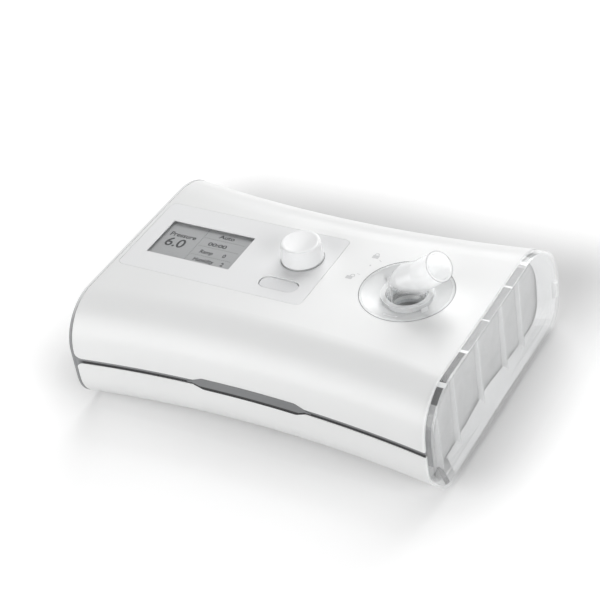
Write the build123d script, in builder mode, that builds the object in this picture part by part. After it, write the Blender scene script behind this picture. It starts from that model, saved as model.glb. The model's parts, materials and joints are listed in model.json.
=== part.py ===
"""Bench-top breathing machine with a built-in heated humidifier.

Millimetres, +Z up.  The origin is the middle of the footprint, on the table under the feet.
X runs along the body, from the air-inlet end (-X) to the water tank (+X).
-Y is the front and +Y the rear.
"""
from math import cos, radians, sin
import os

from build123d import *

os.makedirs("parts", exist_ok=True)

# ---------------------------------------------------------------- driving dimensions
# Body outline
BODY_LENGTH = 285.0        # white shells, end to end
BODY_HEIGHT = 86.4
WAIST_DEPTH = 191.4        # front to rear at the middle
END_DEPTH = 213.0          # front to rear at the ends
FRONT_RADIUS = 36.0        # upper front corner
BACK_RADIUS = 50.0         # upper rear corner
BOTTOM_FRONT_RADIUS = 26.0 # lower front corner
BOTTOM_BACK_RADIUS = 20.0  # lower rear corner
SHELL_WALL = 2.5
EDGE_ROUND = 0.8           # rounded ends of the shells
FOOT_PROUD = 2.0           # feet stand this far below the case
SEAT_GAP = 0.3             # between pieces that move past each other
WALL_CLEARANCE = 0.1       # around plates that slip into the shells
FIT_GAP = 0.05             # shaft in its bush, on the radius

# Grey trim frame, black gasket and badge plate
STRIPE_LOW = 42.4          # height of the stripe's lower edge above the table
STRIPE_HEIGHT = 4.4
GASKET_HEIGHT = 2.0        # lower part of the stripe
STRIPE_SINK = 0.3          # stripe lies this far inside the shells' face
GASKET_SINK = 0.5
SHELL_CORNER = 6.0         # rounded corners of the shells where the stripe ends
COVER_TANK_CORNER = 2.0    # cover corner beside the tank
CASE_TANK_CORNER = 11.0    # case corner beside the tank
TRIM_LINE = 1.6            # trim along that corner
GASKET_END = 9.0           # gasket stops this far from the shells' ends
END_FRAME_PROUD = 1.8      # rim of the left end beyond the shells
END_FRAME_WIDTH = 5.0
BADGE_LENGTH = 102.0
BADGE_FLARE = 13.0         # sloping stretch at each end
BADGE_HEIGHT = 10.6
BADGE_BEND = 6.0           # rounding where the flares begin
BADGE_SEAT = 0.9           # depth of its pocket
BADGE_PROUD = 0.4

# Control panel
PANEL_LENGTH, PANEL_DEPTH = 156.0, 80.3
PANEL_START = 3.6          # panel's edge from the shells' left end
PANEL_Y = 0.0
PANEL_CORNER = 5.0
PANEL_SHEET = 0.8
PANEL_GAP = 0.25
SCREEN_LENGTH, SCREEN_DEPTH = 72.0, 40.7
SCREEN_START = 13.3        # screen's edge from the panel's left edge
SCREEN_Y = 0.0
LENS_MARGIN = 2.0          # lens reaches this far under the sheet
DISPLAY_MARGIN = 4.0       # glass around the viewing area
DISPLAY_GLASS = 1.8
BACKLIGHT_MARGIN = 5.5
BOARD_THICKNESS = 1.6
UI_BOARD_DROP = 14.0       # board's lower face below the top of the body
UI_BOARD_MARGIN = 3.0      # board inside the panel's edge
UI_POST_RADIUS = 3.0
UI_POST_EDGE = 5.0         # posts' centres inside the board's edge
UI_SCREW_RADIUS = 1.25
BOARD_SCREW_BITE = 5.0     # board screws reach this far into their posts
SCREW_SPARE = 1.0          # hole beyond a board screw's tip
SCREEN_CORNER = 0.8

# Control knob on its push encoder
KNOB_INSET = 24.6          # knob's axis from the panel's right edge
KNOB_Y = 10.0
KNOB_RADIUS = 15.8
KNOB_TOP_RADIUS = 14.6
KNOB_HEIGHT = 14.0
KNOB_WALL = 2.2
KNOB_DISH = 0.8
KNOB_ROUND = 1.2
KNOB_LIP = 1.4             # upright foot of the skirt
KNOB_LIFT = 1.1            # skirt above the panel
KNOB_TRAVEL = 0.8
SHAFT_RADIUS = 3.0
ENCODER_SIDE = 13.0
ENCODER_HEIGHT = 7.0
ENCODER_BUSH_RADIUS = 4.5
ENCODER_BUSH_LENGTH = 8.0
BUSH_CLEARANCE = 1.0       # around the bush, in the cover and the panel
PLUNGER_HEIGHT = 0.8
CUP_SPARE = 0.5            # cup reaches this far above the shaft's lower end

# Start and stop button
BUTTON_SHIFT, BUTTON_DROP = 2.0, 33.2  # button's middle, left and in front of the knob's axis
BUTTON_LENGTH, BUTTON_DEPTH = 31.0, 13.0
BUTTON_GAP = 0.4
BUTTON_SINK = 0.6          # button's face below the panel
BUTTON_TRAVEL = 0.8
BUTTON_FLANGE = 1.6
BUTTON_STEM_RADIUS = 2.6
BUTTON_ROUND = 0.8
SWITCH_SIDE = 6.0
SWITCH_HEIGHT = 3.5
SWITCH_PLUNGER_RADIUS = 1.7

# Air outlet
OUTLET_SHIFT, OUTLET_Y = 0.35, 0.0     # outlet's axis from the middle of the tank bay
DISC_RADIUS = 34.0
DISC_GAP = 0.5
DISC_LIP = 1.8             # flat rim of the disc
DISC_THICKNESS = 2.2
DISC_DISH = 4.2            # how far the disc's face falls towards its hub
HUB_RADIUS = 19.0
HUB_SLOPE = 1.0            # foot of the dish, flat around the hub
HUB_STEP = 0.8             # hub ring's top below the body's top
HUB_SKIRT_RADIUS = 17.8
HUB_BORE = 15.4
HUB_DROP = 14.8            # skirt's lower end below the body's top
HUB_LEDGE = 1.5            # ledge that carries the elbow
LUG_REACH = 1.6            # bayonet lugs, beyond the skirt
LUG_HEIGHT = 2.4
LUG_ANGLE = 24.0
LUG_COUNT = 3
SLOT_SPARE = 2.0           # degrees of play beside a lug in its slot
DISC_TURN = 35.0           # locked to unlocked
SOCKET_WALL = 2.2
SOCKET_DROP = 19.2         # duct's lower end below the body's top
SOCKET_FLANGE = 4.0
DUCT_RADIUS = 15.6         # open way from the tank to the elbow
SEAL_HEIGHT = 2.8
SEAL_WIDTH = 4.0

# Elbow: 22 mm breathing-tube end
CONNECTOR_RADIUS = 11.2
CONNECTOR_LENGTH = 20.0
ELBOW_RADIUS = 13.4
ELBOW_WALL = 1.6
ELBOW_TILT = 40.0          # tube end above the horizontal
ELBOW_SWING = -10.0        # tube end at rest, turned from +X towards the front
ELBOW_BEND = 14.0
ELBOW_RISE = 0.5           # bend starts this far above the body's top
ELBOW_TAPER = 13.9         # from the bend's size to the connector's
ELBOW_COLLAR = 15.1
COLLAR_SINK = 3.8          # collar ends this far below the body's top
RING_HEIGHT = 2.0
RING_DEPTH = 1.5

# Left end: air inlet
END_PANEL_THICKNESS = 2.0
DOOR_LENGTH = 58.0
DOOR_HEIGHT = 28.0
DOOR_THICKNESS = 1.5
DOOR_CORNER = 2.5
DOOR_SLOTS = 7
DOOR_SLOT_HEIGHT = 1.6
DOOR_SLOT_MARGIN = 8.0     # door's edge beside the slots
DOOR_SLOT_SHIFT = 2.0      # slots lie this far from the hinge side
HINGE_RADIUS = 1.6
HINGE_PIN_RADIUS = 0.8
HINGE_EAR = 3.0
HINGE_PROUD = 0.4          # barrel beyond the end frame's rim
EAR_ROOT = 0.4             # ears reach this far into the end panel
FILTER_THICKNESS = 6.0
FILTER_MARGIN = 4.0
FILTER_CORNER = 2.0
MUFFLER_LENGTH = 84.0
MUFFLER_DEPTH = 70.0
MUFFLER_HEIGHT = 17.6
MUFFLER_WALL = 1.8
MUFFLER_FOAM = 3.5         # foam above and below the air way
MUFFLER_SIDE_FOAM = 7.0

# Blower
BLOWER_INSET = 54.5        # blower's axis from the shells' left end
BLOWER_Y = 28.0
BLOWER_LIFT = 13.5         # blower's lower face above the case floor
BLOWER_RADIUS = 38.0
BLOWER_ROOM = 2.8          # between the muffler and the user-interface board
BLOWER_WALL = 2.5
BLOWER_INLET_RADIUS = 13.0
BLOWER_INLET_RIM = 4.0
BLOWER_DUCT_DEPTH = 24.0
BLOWER_DUCT_REACH = 4.0    # duct's flat end beyond the drum
BLOWER_STUB_RADIUS = 10.0
BLOWER_STUB_WALL = 1.8
BLOWER_STUB_LENGTH = 12.0
IMPELLER_RADIUS = 32.0
IMPELLER_HUB = 7.0
IMPELLER_HEIGHT = 12.0
IMPELLER_BLADES = 11
IMPELLER_DISC = 1.5
IMPELLER_LIFT = 3.0        # above the blower's inner floor
BLADE_THICKNESS = 1.4
BLADE_MARGIN = 2.0         # blades end this far inside the disc's rim
BLADE_ANGLE = 35.0
MOTOR_SHAFT_RADIUS = 2.0
SHAFT_PROUD = 1.0          # shaft's end above the impeller
MOTOR_RADIUS = 17.0
MOTOR_BORE = 9.0
MOTOR_HEIGHT = 9.5
MAGNET_RADIUS = 8.5
BEARING_HEIGHT = 2.2
MOUNT_SPREAD = 31.0        # rubber mounts, from the blower's axis along X and Y
MOUNT_RADIUS = 6.0
MOUNT_HEIGHT = 4.0
MOUNT_PIN_RADIUS = 2.0
MOUNT_LEDGE = 1.0          # rubber mount beyond its post
BOOT_WALL = 1.5
BOOT_BEND = 14.0
BOOT_EASE = 5.0            # straight stretch past each stub, before the bend
BOOT_GAP = 2.0             # boot's ends stand off the blower and the wall

# Tank bay
BAY_GAP = 0.9              # wall between the dry side and the tank, past the panel's edge
BAY_WALL = 2.5
PORT_DROP = 0.2            # port's edge below the inside of the tank's lid
PORT_RADIUS = 8.0
PORT_RIM = 2.0
PORT_STUB = 11.0
PORT_SEAL = 3.2
HEATER_MARGIN = 9.25       # heater inside the tank's ends
HEATER_DEPTH = 80.0
HEATER_CORNER = 8.0
HEATER_PLATE = 2.0
HEATER_ELEMENT = 1.0
ELEMENT_MARGIN = 4.0       # element inside the plate's edge
PLATE_PROUD = 0.4          # plate above its carrier
PLATE_ROUND = 0.5
CARRIER_RIM = 8.0
CARRIER_HEIGHT = 7.6

# Water tank
TANK_WALL = 2.2
TANK_GAP = 1.7             # between the tank and the shells
TUB_LIFT = 1.1             # tub's underside above the heater plate
LID_HEIGHT = 20.4
TANK_SEAL = 0.6
SEAL_INSET = 0.4           # lid seal inside both faces of the tank's wall
BASE_PLATE_FLANGE = 1.0
BULKHEAD_INSET = 8.0       # from the shells' right end
BULKHEAD_THICKNESS = 2.0
FIN_PLACES = (-80.0, -52.0, -11.0, 30.0, 60.0)
FIN_TOP, FIN_FOOT = 2.6, 4.6  # how far the fins stand out, above and below
FIN_THICKNESS = 1.6
CAP_PROUD = 8.0            # clear end beyond the shells
CAP_WALL = 1.8
CAP_INSET = 0.6
CAP_NECK_GAP = 0.9         # between the cap's neck and the shells
CAP_ROUND = 1.0
CATCH_LENGTH, CATCH_HEIGHT = 5.0, 14.0
CATCH_Z = 29.0
CATCH_PROUD = 0.6
CATCH_THICKNESS = 4.4
CATCH_TRAVEL = 1.5

# Electronics and fixings
MAIN_BOARD_START = 20.5    # board's edge from the shells' left end
MAIN_BOARD_Y = -47.0
MAIN_BOARD_LENGTH, MAIN_BOARD_DEPTH = 120.0, 50.0
MAIN_BOARD_LIFT = 7.5      # board's lower face above the case floor
MAIN_POST_RADIUS = 3.0
MAIN_POST_EDGE = 4.0
CAPACITOR_INSET = 18.0     # middle of the capacitors from the board's right edge
CAPACITOR_RADIUS, CAPACITOR_HEIGHT = 5.0, 16.0
CAPACITOR_ROUND = 0.8
CONNECTOR_X, CONNECTOR_INSET = -10.0, 6.0
CONNECTOR_PITCH = 24.0
CONNECTOR_SIZE = (15.0, 6.0, 7.5)
CONNECTOR_WALL = 1.5
CONNECTOR_DEPTH = 5.0
SINK_INSET, SINK_Y = 28.0, -8.0  # heat sink's middle from the board's left edge
SINK_LENGTH, SINK_DEPTH, SINK_HEIGHT = 30.0, 14.0, 18.0
SINK_FINS = 5
SINK_FIN_THICKNESS = 2.0
SENSOR_X, SENSOR_Y = 10.0, -8.0
SENSOR_SIZE = (14.0, 12.0, 6.0)
SENSOR_PORT_LENGTH = 6.0
SENSOR_PORT_RADIUS, SENSOR_BORE = 1.6, 0.8
SENSOR_PORT_PITCH = 7.0
POWER_INSET, POWER_LIFT = 42.5, 25.5  # from the shells' left end, above the case floor
POWER_SIDE = 11.0
POWER_DEPTH = 13.0
POWER_BORE = 3.2
POWER_PIN = 1.0
POWER_BORE_DEPTH = 9.5
POWER_RECESS = 1.0         # socket's face inside the case's
POWER_FLANGE, POWER_FLANGE_THICKNESS = 2.0, 2.0
FOOT_INSET_X, FOOT_INSET_Y = 24.5, 23.7  # from the shells' ends and the waist
FOOT_RADIUS = 9.0
FOOT_SEAT = 1.0
FOOT_CHAMFER = 0.6
POST_RADIUS = 4.5
POST_INSET = 10.5          # left posts from the shells' end
POST_SETBACK = 12.0        # right posts from the bay wall
POST_DEPTHS = (25.7, 19.7, 17.7)  # inside the waist: front left, rear left, both right
SCREW_RADIUS = 1.5
SCREW_HEAD_RADIUS = 2.9
SCREW_HEAD_HEIGHT = 2.4
SCREW_RECESS = 1.4
SCREW_LENGTH = 18.0
POST_CAP = 8.0             # solid top of a case post, under the cover's boss
BOSS_LIFT = 1.2            # cover bosses meet the case posts this far above the stripe

# ---------------------------------------------------------------- sizes worked out
BODY_BASE = FOOT_PROUD
BODY_TOP = BODY_BASE + BODY_HEIGHT
BODY_MID = BODY_BASE + BODY_HEIGHT / 2
BODY_END = BODY_LENGTH / 2
CASE_FLOOR = BODY_BASE + SHELL_WALL
COVER_INSIDE = BODY_TOP - SHELL_WALL
STRIPE_TOP = STRIPE_LOW + STRIPE_HEIGHT
STRIPE_MID = STRIPE_LOW + STRIPE_HEIGHT / 2
PANEL_UNDERSIDE = BODY_TOP - PANEL_SHEET
UI_BOARD_LOW = BODY_TOP - UI_BOARD_DROP
UI_BOARD_TOP = UI_BOARD_LOW + BOARD_THICKNESS
CAP_END = BODY_END + CAP_PROUD
OUTER_END = BODY_END + END_FRAME_PROUD
OVERSHOOT = 1.0            # cutting solids reach this far past what they cut
HALF_WAIST = WAIST_DEPTH / 2

# places along the body, from its left end to its right end
PANEL_X = -BODY_END + PANEL_START + PANEL_LENGTH / 2
SCREEN_X = PANEL_X - PANEL_LENGTH / 2 + SCREEN_START + SCREEN_LENGTH / 2
KNOB_X = PANEL_X + PANEL_LENGTH / 2 - KNOB_INSET
BUTTON_X, BUTTON_Y = KNOB_X - BUTTON_SHIFT, KNOB_Y - BUTTON_DROP
UI_BOARD_LENGTH, UI_BOARD_DEPTH = PANEL_LENGTH - 2 * UI_BOARD_MARGIN, PANEL_DEPTH - 2 * UI_BOARD_MARGIN
BLOWER_X = -BODY_END + BLOWER_INSET
MAIN_BOARD_X = -BODY_END + MAIN_BOARD_START + MAIN_BOARD_LENGTH / 2
POWER_X = -BODY_END + POWER_INSET
BAY_X = PANEL_X + PANEL_LENGTH / 2 + BAY_GAP
BAY_FACE = BAY_X + BAY_WALL
TANK_START = BAY_FACE + PORT_SEAL + SEAT_GAP
BULKHEAD_X = BODY_END - BULKHEAD_INSET
HEATER_X = (TANK_START + BULKHEAD_X) / 2
HEATER_LENGTH = BULKHEAD_X - TANK_START - 2 * HEATER_MARGIN
OUTLET_X = (BAY_FACE + BODY_END) / 2 + OUTLET_SHIFT
FOOT_X, FOOT_Y = BODY_END - FOOT_INSET_X, HALF_WAIST - FOOT_INSET_Y
POST_PLACES = ((-BODY_END + POST_INSET, POST_DEPTHS[0] - HALF_WAIST),
               (-BODY_END + POST_INSET, HALF_WAIST - POST_DEPTHS[1]),
               (BAY_X - POST_SETBACK, POST_DEPTHS[2] - HALF_WAIST),
               (BAY_X - POST_SETBACK, HALF_WAIST - POST_DEPTHS[2]))

# heights, from the case floor up and from the body's top down
POWER_Z = CASE_FLOOR + POWER_LIFT
PLATE_TOP = CASE_FLOOR + CARRIER_HEIGHT + PLATE_PROUD
TANK_FLOOR = PLATE_TOP + TUB_LIFT
HUB_BOTTOM = BODY_TOP - HUB_DROP
SOCKET_BOTTOM = BODY_TOP - SOCKET_DROP
COLLAR_TOP = BODY_TOP - COLLAR_SINK
ELBOW_START = BODY_TOP + ELBOW_RISE
TANK_TOP = SOCKET_BOTTOM - SEAL_HEIGHT
TANK_SEAM = TANK_TOP - LID_HEIGHT
TANK_INSET = SHELL_WALL + TANK_GAP
CAP_NECK_INSET = SHELL_WALL + CAP_NECK_GAP
BLOWER_BASE = CASE_FLOOR + BLOWER_LIFT
MUFFLER_LOW = UI_BOARD_LOW - BLOWER_ROOM - MUFFLER_HEIGHT
BLOWER_HEIGHT = MUFFLER_LOW - BLOWER_INLET_RIM - BLOWER_BASE
DUCT_Y = BLOWER_Y + BLOWER_RADIUS - BLOWER_DUCT_DEPTH / 2
PORT_Y, PORT_Z = DUCT_Y, TANK_TOP - TANK_WALL - PORT_RADIUS - PORT_DROP


def half_depth(x):
    """Half of the body's depth at station x: narrow at the waist, wide at the ends."""
    return WAIST_DEPTH / 2 + (END_DEPTH - WAIST_DEPTH) / 2 * (x / BODY_END) ** 2


def hull(x_start, x_end, inset=0.0, stations=5):
    """Solid with the body's waisted outline, moved in by inset, between two stations."""
    step = (x_end - x_start) / (stations - 1)
    with BuildPart() as solid:
        for index in range(stations):
            x = x_start + index * step
            with BuildSketch(Plane.YZ.offset(x)) as section:
                with Locations((0, BODY_MID)):
                    Rectangle(2 * (half_depth(x) - inset), BODY_HEIGHT - 2 * inset)
                bottom_row = section.vertices().group_by(Axis.Y)[0].sort_by(Axis.X)
                fillet(bottom_row[0], BOTTOM_FRONT_RADIUS - inset)
                bottom_row = section.vertices().group_by(Axis.Y)[0].sort_by(Axis.X)
                fillet(bottom_row[-1], BOTTOM_BACK_RADIUS - inset)
                top_row = section.vertices().group_by(Axis.Y)[-1].sort_by(Axis.X)
                fillet(top_row[0], FRONT_RADIUS - inset)
                top_row = section.vertices().group_by(Axis.Y)[-1].sort_by(Axis.X)
                fillet(top_row[-1], BACK_RADIUS - inset)
        loft()
    return solid.part


def slab(x_min, x_max, z_min, z_max):
    """Block over the body's whole depth, between two stations and two heights."""
    with BuildPart() as solid:
        with BuildSketch(Plane.XZ):
            with Locations(((x_min + x_max) / 2, (z_min + z_max) / 2)):
                Rectangle(x_max - x_min, z_max - z_min)
        extrude(amount=END_DEPTH, both=True)
    return solid.part


def shell_zone(z_min, z_max, edge, left_corner, right_corner, reach=0.0):
    """Block that trims one shell, with the two corners at its stripe edge rounded."""
    with BuildPart() as solid:
        with BuildSketch(Plane.XZ) as outline:
            with Locations((0, (z_min + z_max) / 2)):
                Rectangle(BODY_LENGTH + 2 * reach, z_max - z_min)
            corners = outline.vertices().group_by(Axis.Y)[edge].sort_by(Axis.X)
            fillet(corners[0], left_corner)
            fillet(corners[-1], right_corner)
        extrude(amount=END_DEPTH, both=True)
    return solid.part


def tank_hull(inset, z_min, z_max):
    """Solid with the tank's outline, moved in by inset, between two heights."""
    with BuildPart() as solid:
        add(hull(TANK_START + inset, BULKHEAD_X - inset, TANK_INSET + inset))
        add(slab(0, BODY_LENGTH, z_min, z_max), mode=Mode.INTERSECT)
    return solid.part


def four_places(x, y, reach_x, reach_y):
    """Four places around a middle, one in each quarter."""
    return [(x + side_x * reach_x, y + side_y * reach_y) for side_x in (-1, 1) for side_y in (-1, 1)]


# ---------------------------------------------------------------- housing
with BuildPart() as rounded_body:
    add(hull(-BODY_END, BODY_END))
    fillet(rounded_body.edges().group_by(Axis.X)[0] + rounded_body.edges().group_by(Axis.X)[-1], EDGE_ROUND)
body = rounded_body.part
hollow = hull(-BODY_END - OVERSHOOT, BODY_END + OVERSHOOT, SHELL_WALL)
cover_zone = shell_zone(STRIPE_TOP, BODY_TOP + OVERSHOOT, 0, SHELL_CORNER, COVER_TANK_CORNER)
case_zone = shell_zone(-OVERSHOOT, STRIPE_LOW, -1, SHELL_CORNER, CASE_TANK_CORNER)

ui_posts = four_places(PANEL_X, PANEL_Y,
                       UI_BOARD_LENGTH / 2 - UI_POST_EDGE, UI_BOARD_DEPTH / 2 - UI_POST_EDGE)
main_posts = four_places(MAIN_BOARD_X, MAIN_BOARD_Y,
                         MAIN_BOARD_LENGTH / 2 - MAIN_POST_EDGE, MAIN_BOARD_DEPTH / 2 - MAIN_POST_EDGE)
mount_places = four_places(BLOWER_X, BLOWER_Y, MOUNT_SPREAD, MOUNT_SPREAD)
BOSS_LOW = STRIPE_TOP + BOSS_LIFT
SCREW_SEAT = BOSS_LOW - POST_CAP

HALF_BADGE, FLAT_BADGE = BADGE_LENGTH / 2, BADGE_LENGTH / 2 - BADGE_FLARE
GASKET_TOP = STRIPE_LOW + GASKET_HEIGHT
LINE_TURN = HALF_BADGE - BADGE_FLARE * STRIPE_HEIGHT / BADGE_HEIGHT  # gasket leaves the stripe here


def badge_zone(lift=0.0):
    """Upright bar with the badge's outline, raised by lift, in front of the body's middle."""
    low, high = STRIPE_MID - BADGE_HEIGHT / 2 + lift, STRIPE_MID + BADGE_HEIGHT / 2 + lift
    with BuildPart() as solid:
        with BuildSketch(Plane.XZ) as face:
            with BuildLine():
                Polyline((-HALF_BADGE, STRIPE_MID + lift), (-FLAT_BADGE, high), (FLAT_BADGE, high),
                         (HALF_BADGE, STRIPE_MID + lift), (FLAT_BADGE, low), (-FLAT_BADGE, low), close=True)
            make_face()
            blunt = face.vertices().filter_by(lambda corner: abs(corner.X) < HALF_BADGE - OVERSHOOT)
            fillet(blunt, BADGE_BEND)
        extrude(amount=END_DEPTH)
    return solid.part


def face_skin(proud):
    """Skin of the body around the badge, from proud of its face down to the badge's seat."""
    with BuildPart() as solid:
        add(hull(-HALF_BADGE, HALF_BADGE, -proud))
        add(hull(-HALF_BADGE - OVERSHOOT, HALF_BADGE + OVERSHOOT, BADGE_SEAT), mode=Mode.SUBTRACT)
    return solid.part


with BuildPart() as badge_pocket:
    add(face_skin(BADGE_PROUD))
    add(badge_zone(), mode=Mode.INTERSECT)

# the gasket's line leaves the stripe between the turns and follows the badge's lower edge
between_turns = slab(-LINE_TURN, LINE_TURN, 0, BODY_TOP)
with BuildPart() as line_zone:
    add(badge_zone())
    add(badge_zone(GASKET_HEIGHT), mode=Mode.SUBTRACT)
    add(between_turns, mode=Mode.INTERSECT)

with BuildPart() as badge_plate:
    add(badge_pocket.part)
    add(line_zone.part, mode=Mode.SUBTRACT)
    add(slab(-BODY_LENGTH, BODY_LENGTH, 0, GASKET_TOP) - between_turns, mode=Mode.SUBTRACT)
badge_plate.part.label = "badge_plate"
export_step(badge_plate.part, "parts/badge_plate.step")

with BuildPart() as top_cover:
    add(body)
    add(hollow, mode=Mode.SUBTRACT)
    # bosses for the case screws and posts for the user-interface board
    with BuildSketch(Plane.XY.offset(BOSS_LOW)):
        with Locations(*POST_PLACES):
            Circle(POST_RADIUS)
    extrude(amount=BODY_TOP - BOSS_LOW)
    with BuildSketch(Plane.XY.offset(UI_BOARD_TOP)):
        with Locations(*ui_posts):
            Circle(UI_POST_RADIUS)
    extrude(amount=BODY_TOP - UI_BOARD_TOP)
    add(body, mode=Mode.INTERSECT)
    add(cover_zone, mode=Mode.INTERSECT)
    add(badge_pocket.part, mode=Mode.SUBTRACT)
    with BuildSketch(Plane.XY.offset(BOSS_LOW)):
        with Locations(*POST_PLACES):
            Circle(SCREW_RADIUS + FIT_GAP)
    extrude(amount=SCREW_LENGTH, mode=Mode.SUBTRACT)
    with BuildSketch(Plane.XY.offset(UI_BOARD_TOP)):
        with Locations(*ui_posts):
            Circle(UI_SCREW_RADIUS + FIT_GAP)
    extrude(amount=BOARD_SCREW_BITE + SCREW_SPARE, mode=Mode.SUBTRACT)
    # recess for the panel sheet, and openings through the top
    with BuildSketch(Plane.XY.offset(PANEL_UNDERSIDE)):
        with Locations((PANEL_X, PANEL_Y)):
            RectangleRounded(PANEL_LENGTH + 2 * PANEL_GAP, PANEL_DEPTH + 2 * PANEL_GAP, PANEL_CORNER)
    extrude(amount=BODY_HEIGHT, mode=Mode.SUBTRACT)
    with BuildSketch(Plane.XY.offset(COVER_INSIDE - OVERSHOOT)):
        with Locations((KNOB_X, KNOB_Y)):
            Circle(ENCODER_BUSH_RADIUS + BUSH_CLEARANCE)
        with Locations((SCREEN_X, SCREEN_Y)):
            Rectangle(SCREEN_LENGTH + 2 * LENS_MARGIN, SCREEN_DEPTH + 2 * LENS_MARGIN)
        with Locations((BUTTON_X, BUTTON_Y)):
            SlotOverall(BUTTON_LENGTH + 2 * BUTTON_GAP, BUTTON_DEPTH + 2 * BUTTON_GAP)
        with Locations((OUTLET_X, OUTLET_Y)):
            Circle(DISC_RADIUS + DISC_GAP)
    extrude(amount=BODY_HEIGHT, mode=Mode.SUBTRACT)
top_cover.part.label = "top_cover"
export_step(top_cover.part, "parts/top_cover.step")

with BuildPart() as bottom_case:
    add(body)
    add(hollow, mode=Mode.SUBTRACT)
    add(case_zone, mode=Mode.INTERSECT)
    add(badge_pocket.part, mode=Mode.SUBTRACT)
    # posts: case screws, main board, blower mounts
    with BuildSketch(Plane.XY.offset(CASE_FLOOR)):
        with Locations(*POST_PLACES):
            Circle(POST_RADIUS)
    extrude(amount=BOSS_LOW - CASE_FLOOR)
    with BuildSketch(Plane.XY.offset(CASE_FLOOR)):
        with Locations(*main_posts):
            Circle(MAIN_POST_RADIUS)
    extrude(amount=MAIN_BOARD_LIFT)
    with BuildSketch(Plane.XY.offset(CASE_FLOOR + MAIN_BOARD_LIFT)):
        with Locations(*main_posts):
            Circle(UI_SCREW_RADIUS + FIT_GAP)
    extrude(amount=-BOARD_SCREW_BITE - SCREW_SPARE, mode=Mode.SUBTRACT)
    with BuildSketch(Plane.XY.offset(CASE_FLOOR)):
        with Locations(*mount_places):
            Circle(MOUNT_RADIUS - MOUNT_LEDGE)
    extrude(amount=BLOWER_BASE - MOUNT_HEIGHT - CASE_FLOOR)
    with BuildSketch(Plane.XY.offset(CASE_FLOOR)):
        with Locations(*mount_places):
            Circle(MOUNT_PIN_RADIUS)
    extrude(amount=BLOWER_BASE - CASE_FLOOR + BLOWER_WALL)
    add(body, mode=Mode.INTERSECT)
    # screw passages, foot seats and the power socket's hole
    with BuildSketch(Plane.XY.offset(BODY_BASE)):
        with Locations(*POST_PLACES):
            Circle(SCREW_HEAD_RADIUS + SEAT_GAP)
    extrude(amount=SCREW_SEAT - BODY_BASE, mode=Mode.SUBTRACT)
    with BuildSketch(Plane.XY.offset(BODY_BASE)):
        with Locations(*POST_PLACES):
            Circle(SCREW_RADIUS + FIT_GAP)
    extrude(amount=BODY_HEIGHT, mode=Mode.SUBTRACT)
    with BuildSketch(Plane.XY.offset(BODY_BASE)):
        with GridLocations(2 * FOOT_X, 2 * FOOT_Y, 2, 2):
            Circle(FOOT_RADIUS)
    extrude(amount=FOOT_SEAT, mode=Mode.SUBTRACT)
    with BuildSketch(Plane.XZ.offset(2 * SHELL_WALL - half_depth(POWER_X))):
        with Locations((POWER_X, POWER_Z)):
            Rectangle(POWER_SIDE, POWER_SIDE)
    extrude(amount=-END_DEPTH, mode=Mode.SUBTRACT)
bottom_case.part.label = "bottom_case"
export_step(bottom_case.part, "parts/bottom_case.step")

# stripe: what the two shells leave free between them, less the gasket's strip
gasket_zone = slab(-BODY_END + GASKET_END, BODY_END - GASKET_END, STRIPE_LOW, GASKET_TOP)

# beside the tank the trim is a narrow line along the case's rounded corner
with BuildPart() as corner_opening:
    add(slab(BODY_END - CASE_TANK_CORNER, BODY_END + OVERSHOOT,
             STRIPE_LOW - CASE_TANK_CORNER - OVERSHOOT, STRIPE_LOW))
    add(shell_zone(-OVERSHOOT, STRIPE_LOW + TRIM_LINE, -1, SHELL_CORNER + TRIM_LINE,
                   CASE_TANK_CORNER + TRIM_LINE, TRIM_LINE), mode=Mode.SUBTRACT)

with BuildPart() as trim_frame:
    add(hull(-BODY_END, BODY_END, STRIPE_SINK))
    add(hollow, mode=Mode.SUBTRACT)
    add(slab(-BODY_END, BODY_END, STRIPE_LOW - CASE_TANK_CORNER, STRIPE_TOP + SHELL_CORNER),
        mode=Mode.INTERSECT)
    for zone in (cover_zone, case_zone, gasket_zone, badge_pocket.part, corner_opening.part):
        add(zone, mode=Mode.SUBTRACT)
    # rim of the left end
    add(hull(-OUTER_END, -BODY_END, stations=2) - hull(-OUTER_END, -BODY_END, END_FRAME_WIDTH, 2))
trim_frame.part.label = "trim_frame"
export_step(trim_frame.part, "parts/trim_frame.step")

with BuildPart() as seam_gasket:
    add(hull(-BODY_END, BODY_END, GASKET_SINK))
    add(hollow, mode=Mode.SUBTRACT)
    add(gasket_zone, mode=Mode.INTERSECT)
    add(badge_pocket.part & between_turns, mode=Mode.SUBTRACT)
    add(face_skin(0) & line_zone.part)
seam_gasket.part.label = "seam_gasket"
export_step(seam_gasket.part, "parts/seam_gasket.step")

with BuildPart() as feet:
    with BuildSketch(Plane.XY):
        with GridLocations(2 * FOOT_X, 2 * FOOT_Y, 2, 2):
            Circle(FOOT_RADIUS)
    extrude(amount=BODY_BASE + FOOT_SEAT)
    chamfer(feet.edges().group_by(Axis.Z)[0], FOOT_CHAMFER)
feet.part.label = "feet"
export_step(feet.part, "parts/feet.step")

with BuildPart() as case_screws:
    with BuildSketch(Plane.XY.offset(SCREW_SEAT - SCREW_HEAD_HEIGHT)):
        with Locations(*POST_PLACES):
            Circle(SCREW_HEAD_RADIUS)
    extrude(amount=SCREW_HEAD_HEIGHT)
    with BuildSketch(Plane.XY.offset(SCREW_SEAT)):
        with Locations(*POST_PLACES):
            Circle(SCREW_RADIUS)
    extrude(amount=SCREW_LENGTH)
    with BuildSketch(Plane.XY.offset(SCREW_SEAT - SCREW_HEAD_HEIGHT)):
        with Locations(*POST_PLACES):
            RegularPolygon(SCREW_RADIUS, 6)
    extrude(amount=SCREW_RECESS, mode=Mode.SUBTRACT)
case_screws.part.label = "case_screws"
export_step(case_screws.part, "parts/case_screws.step")

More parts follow.
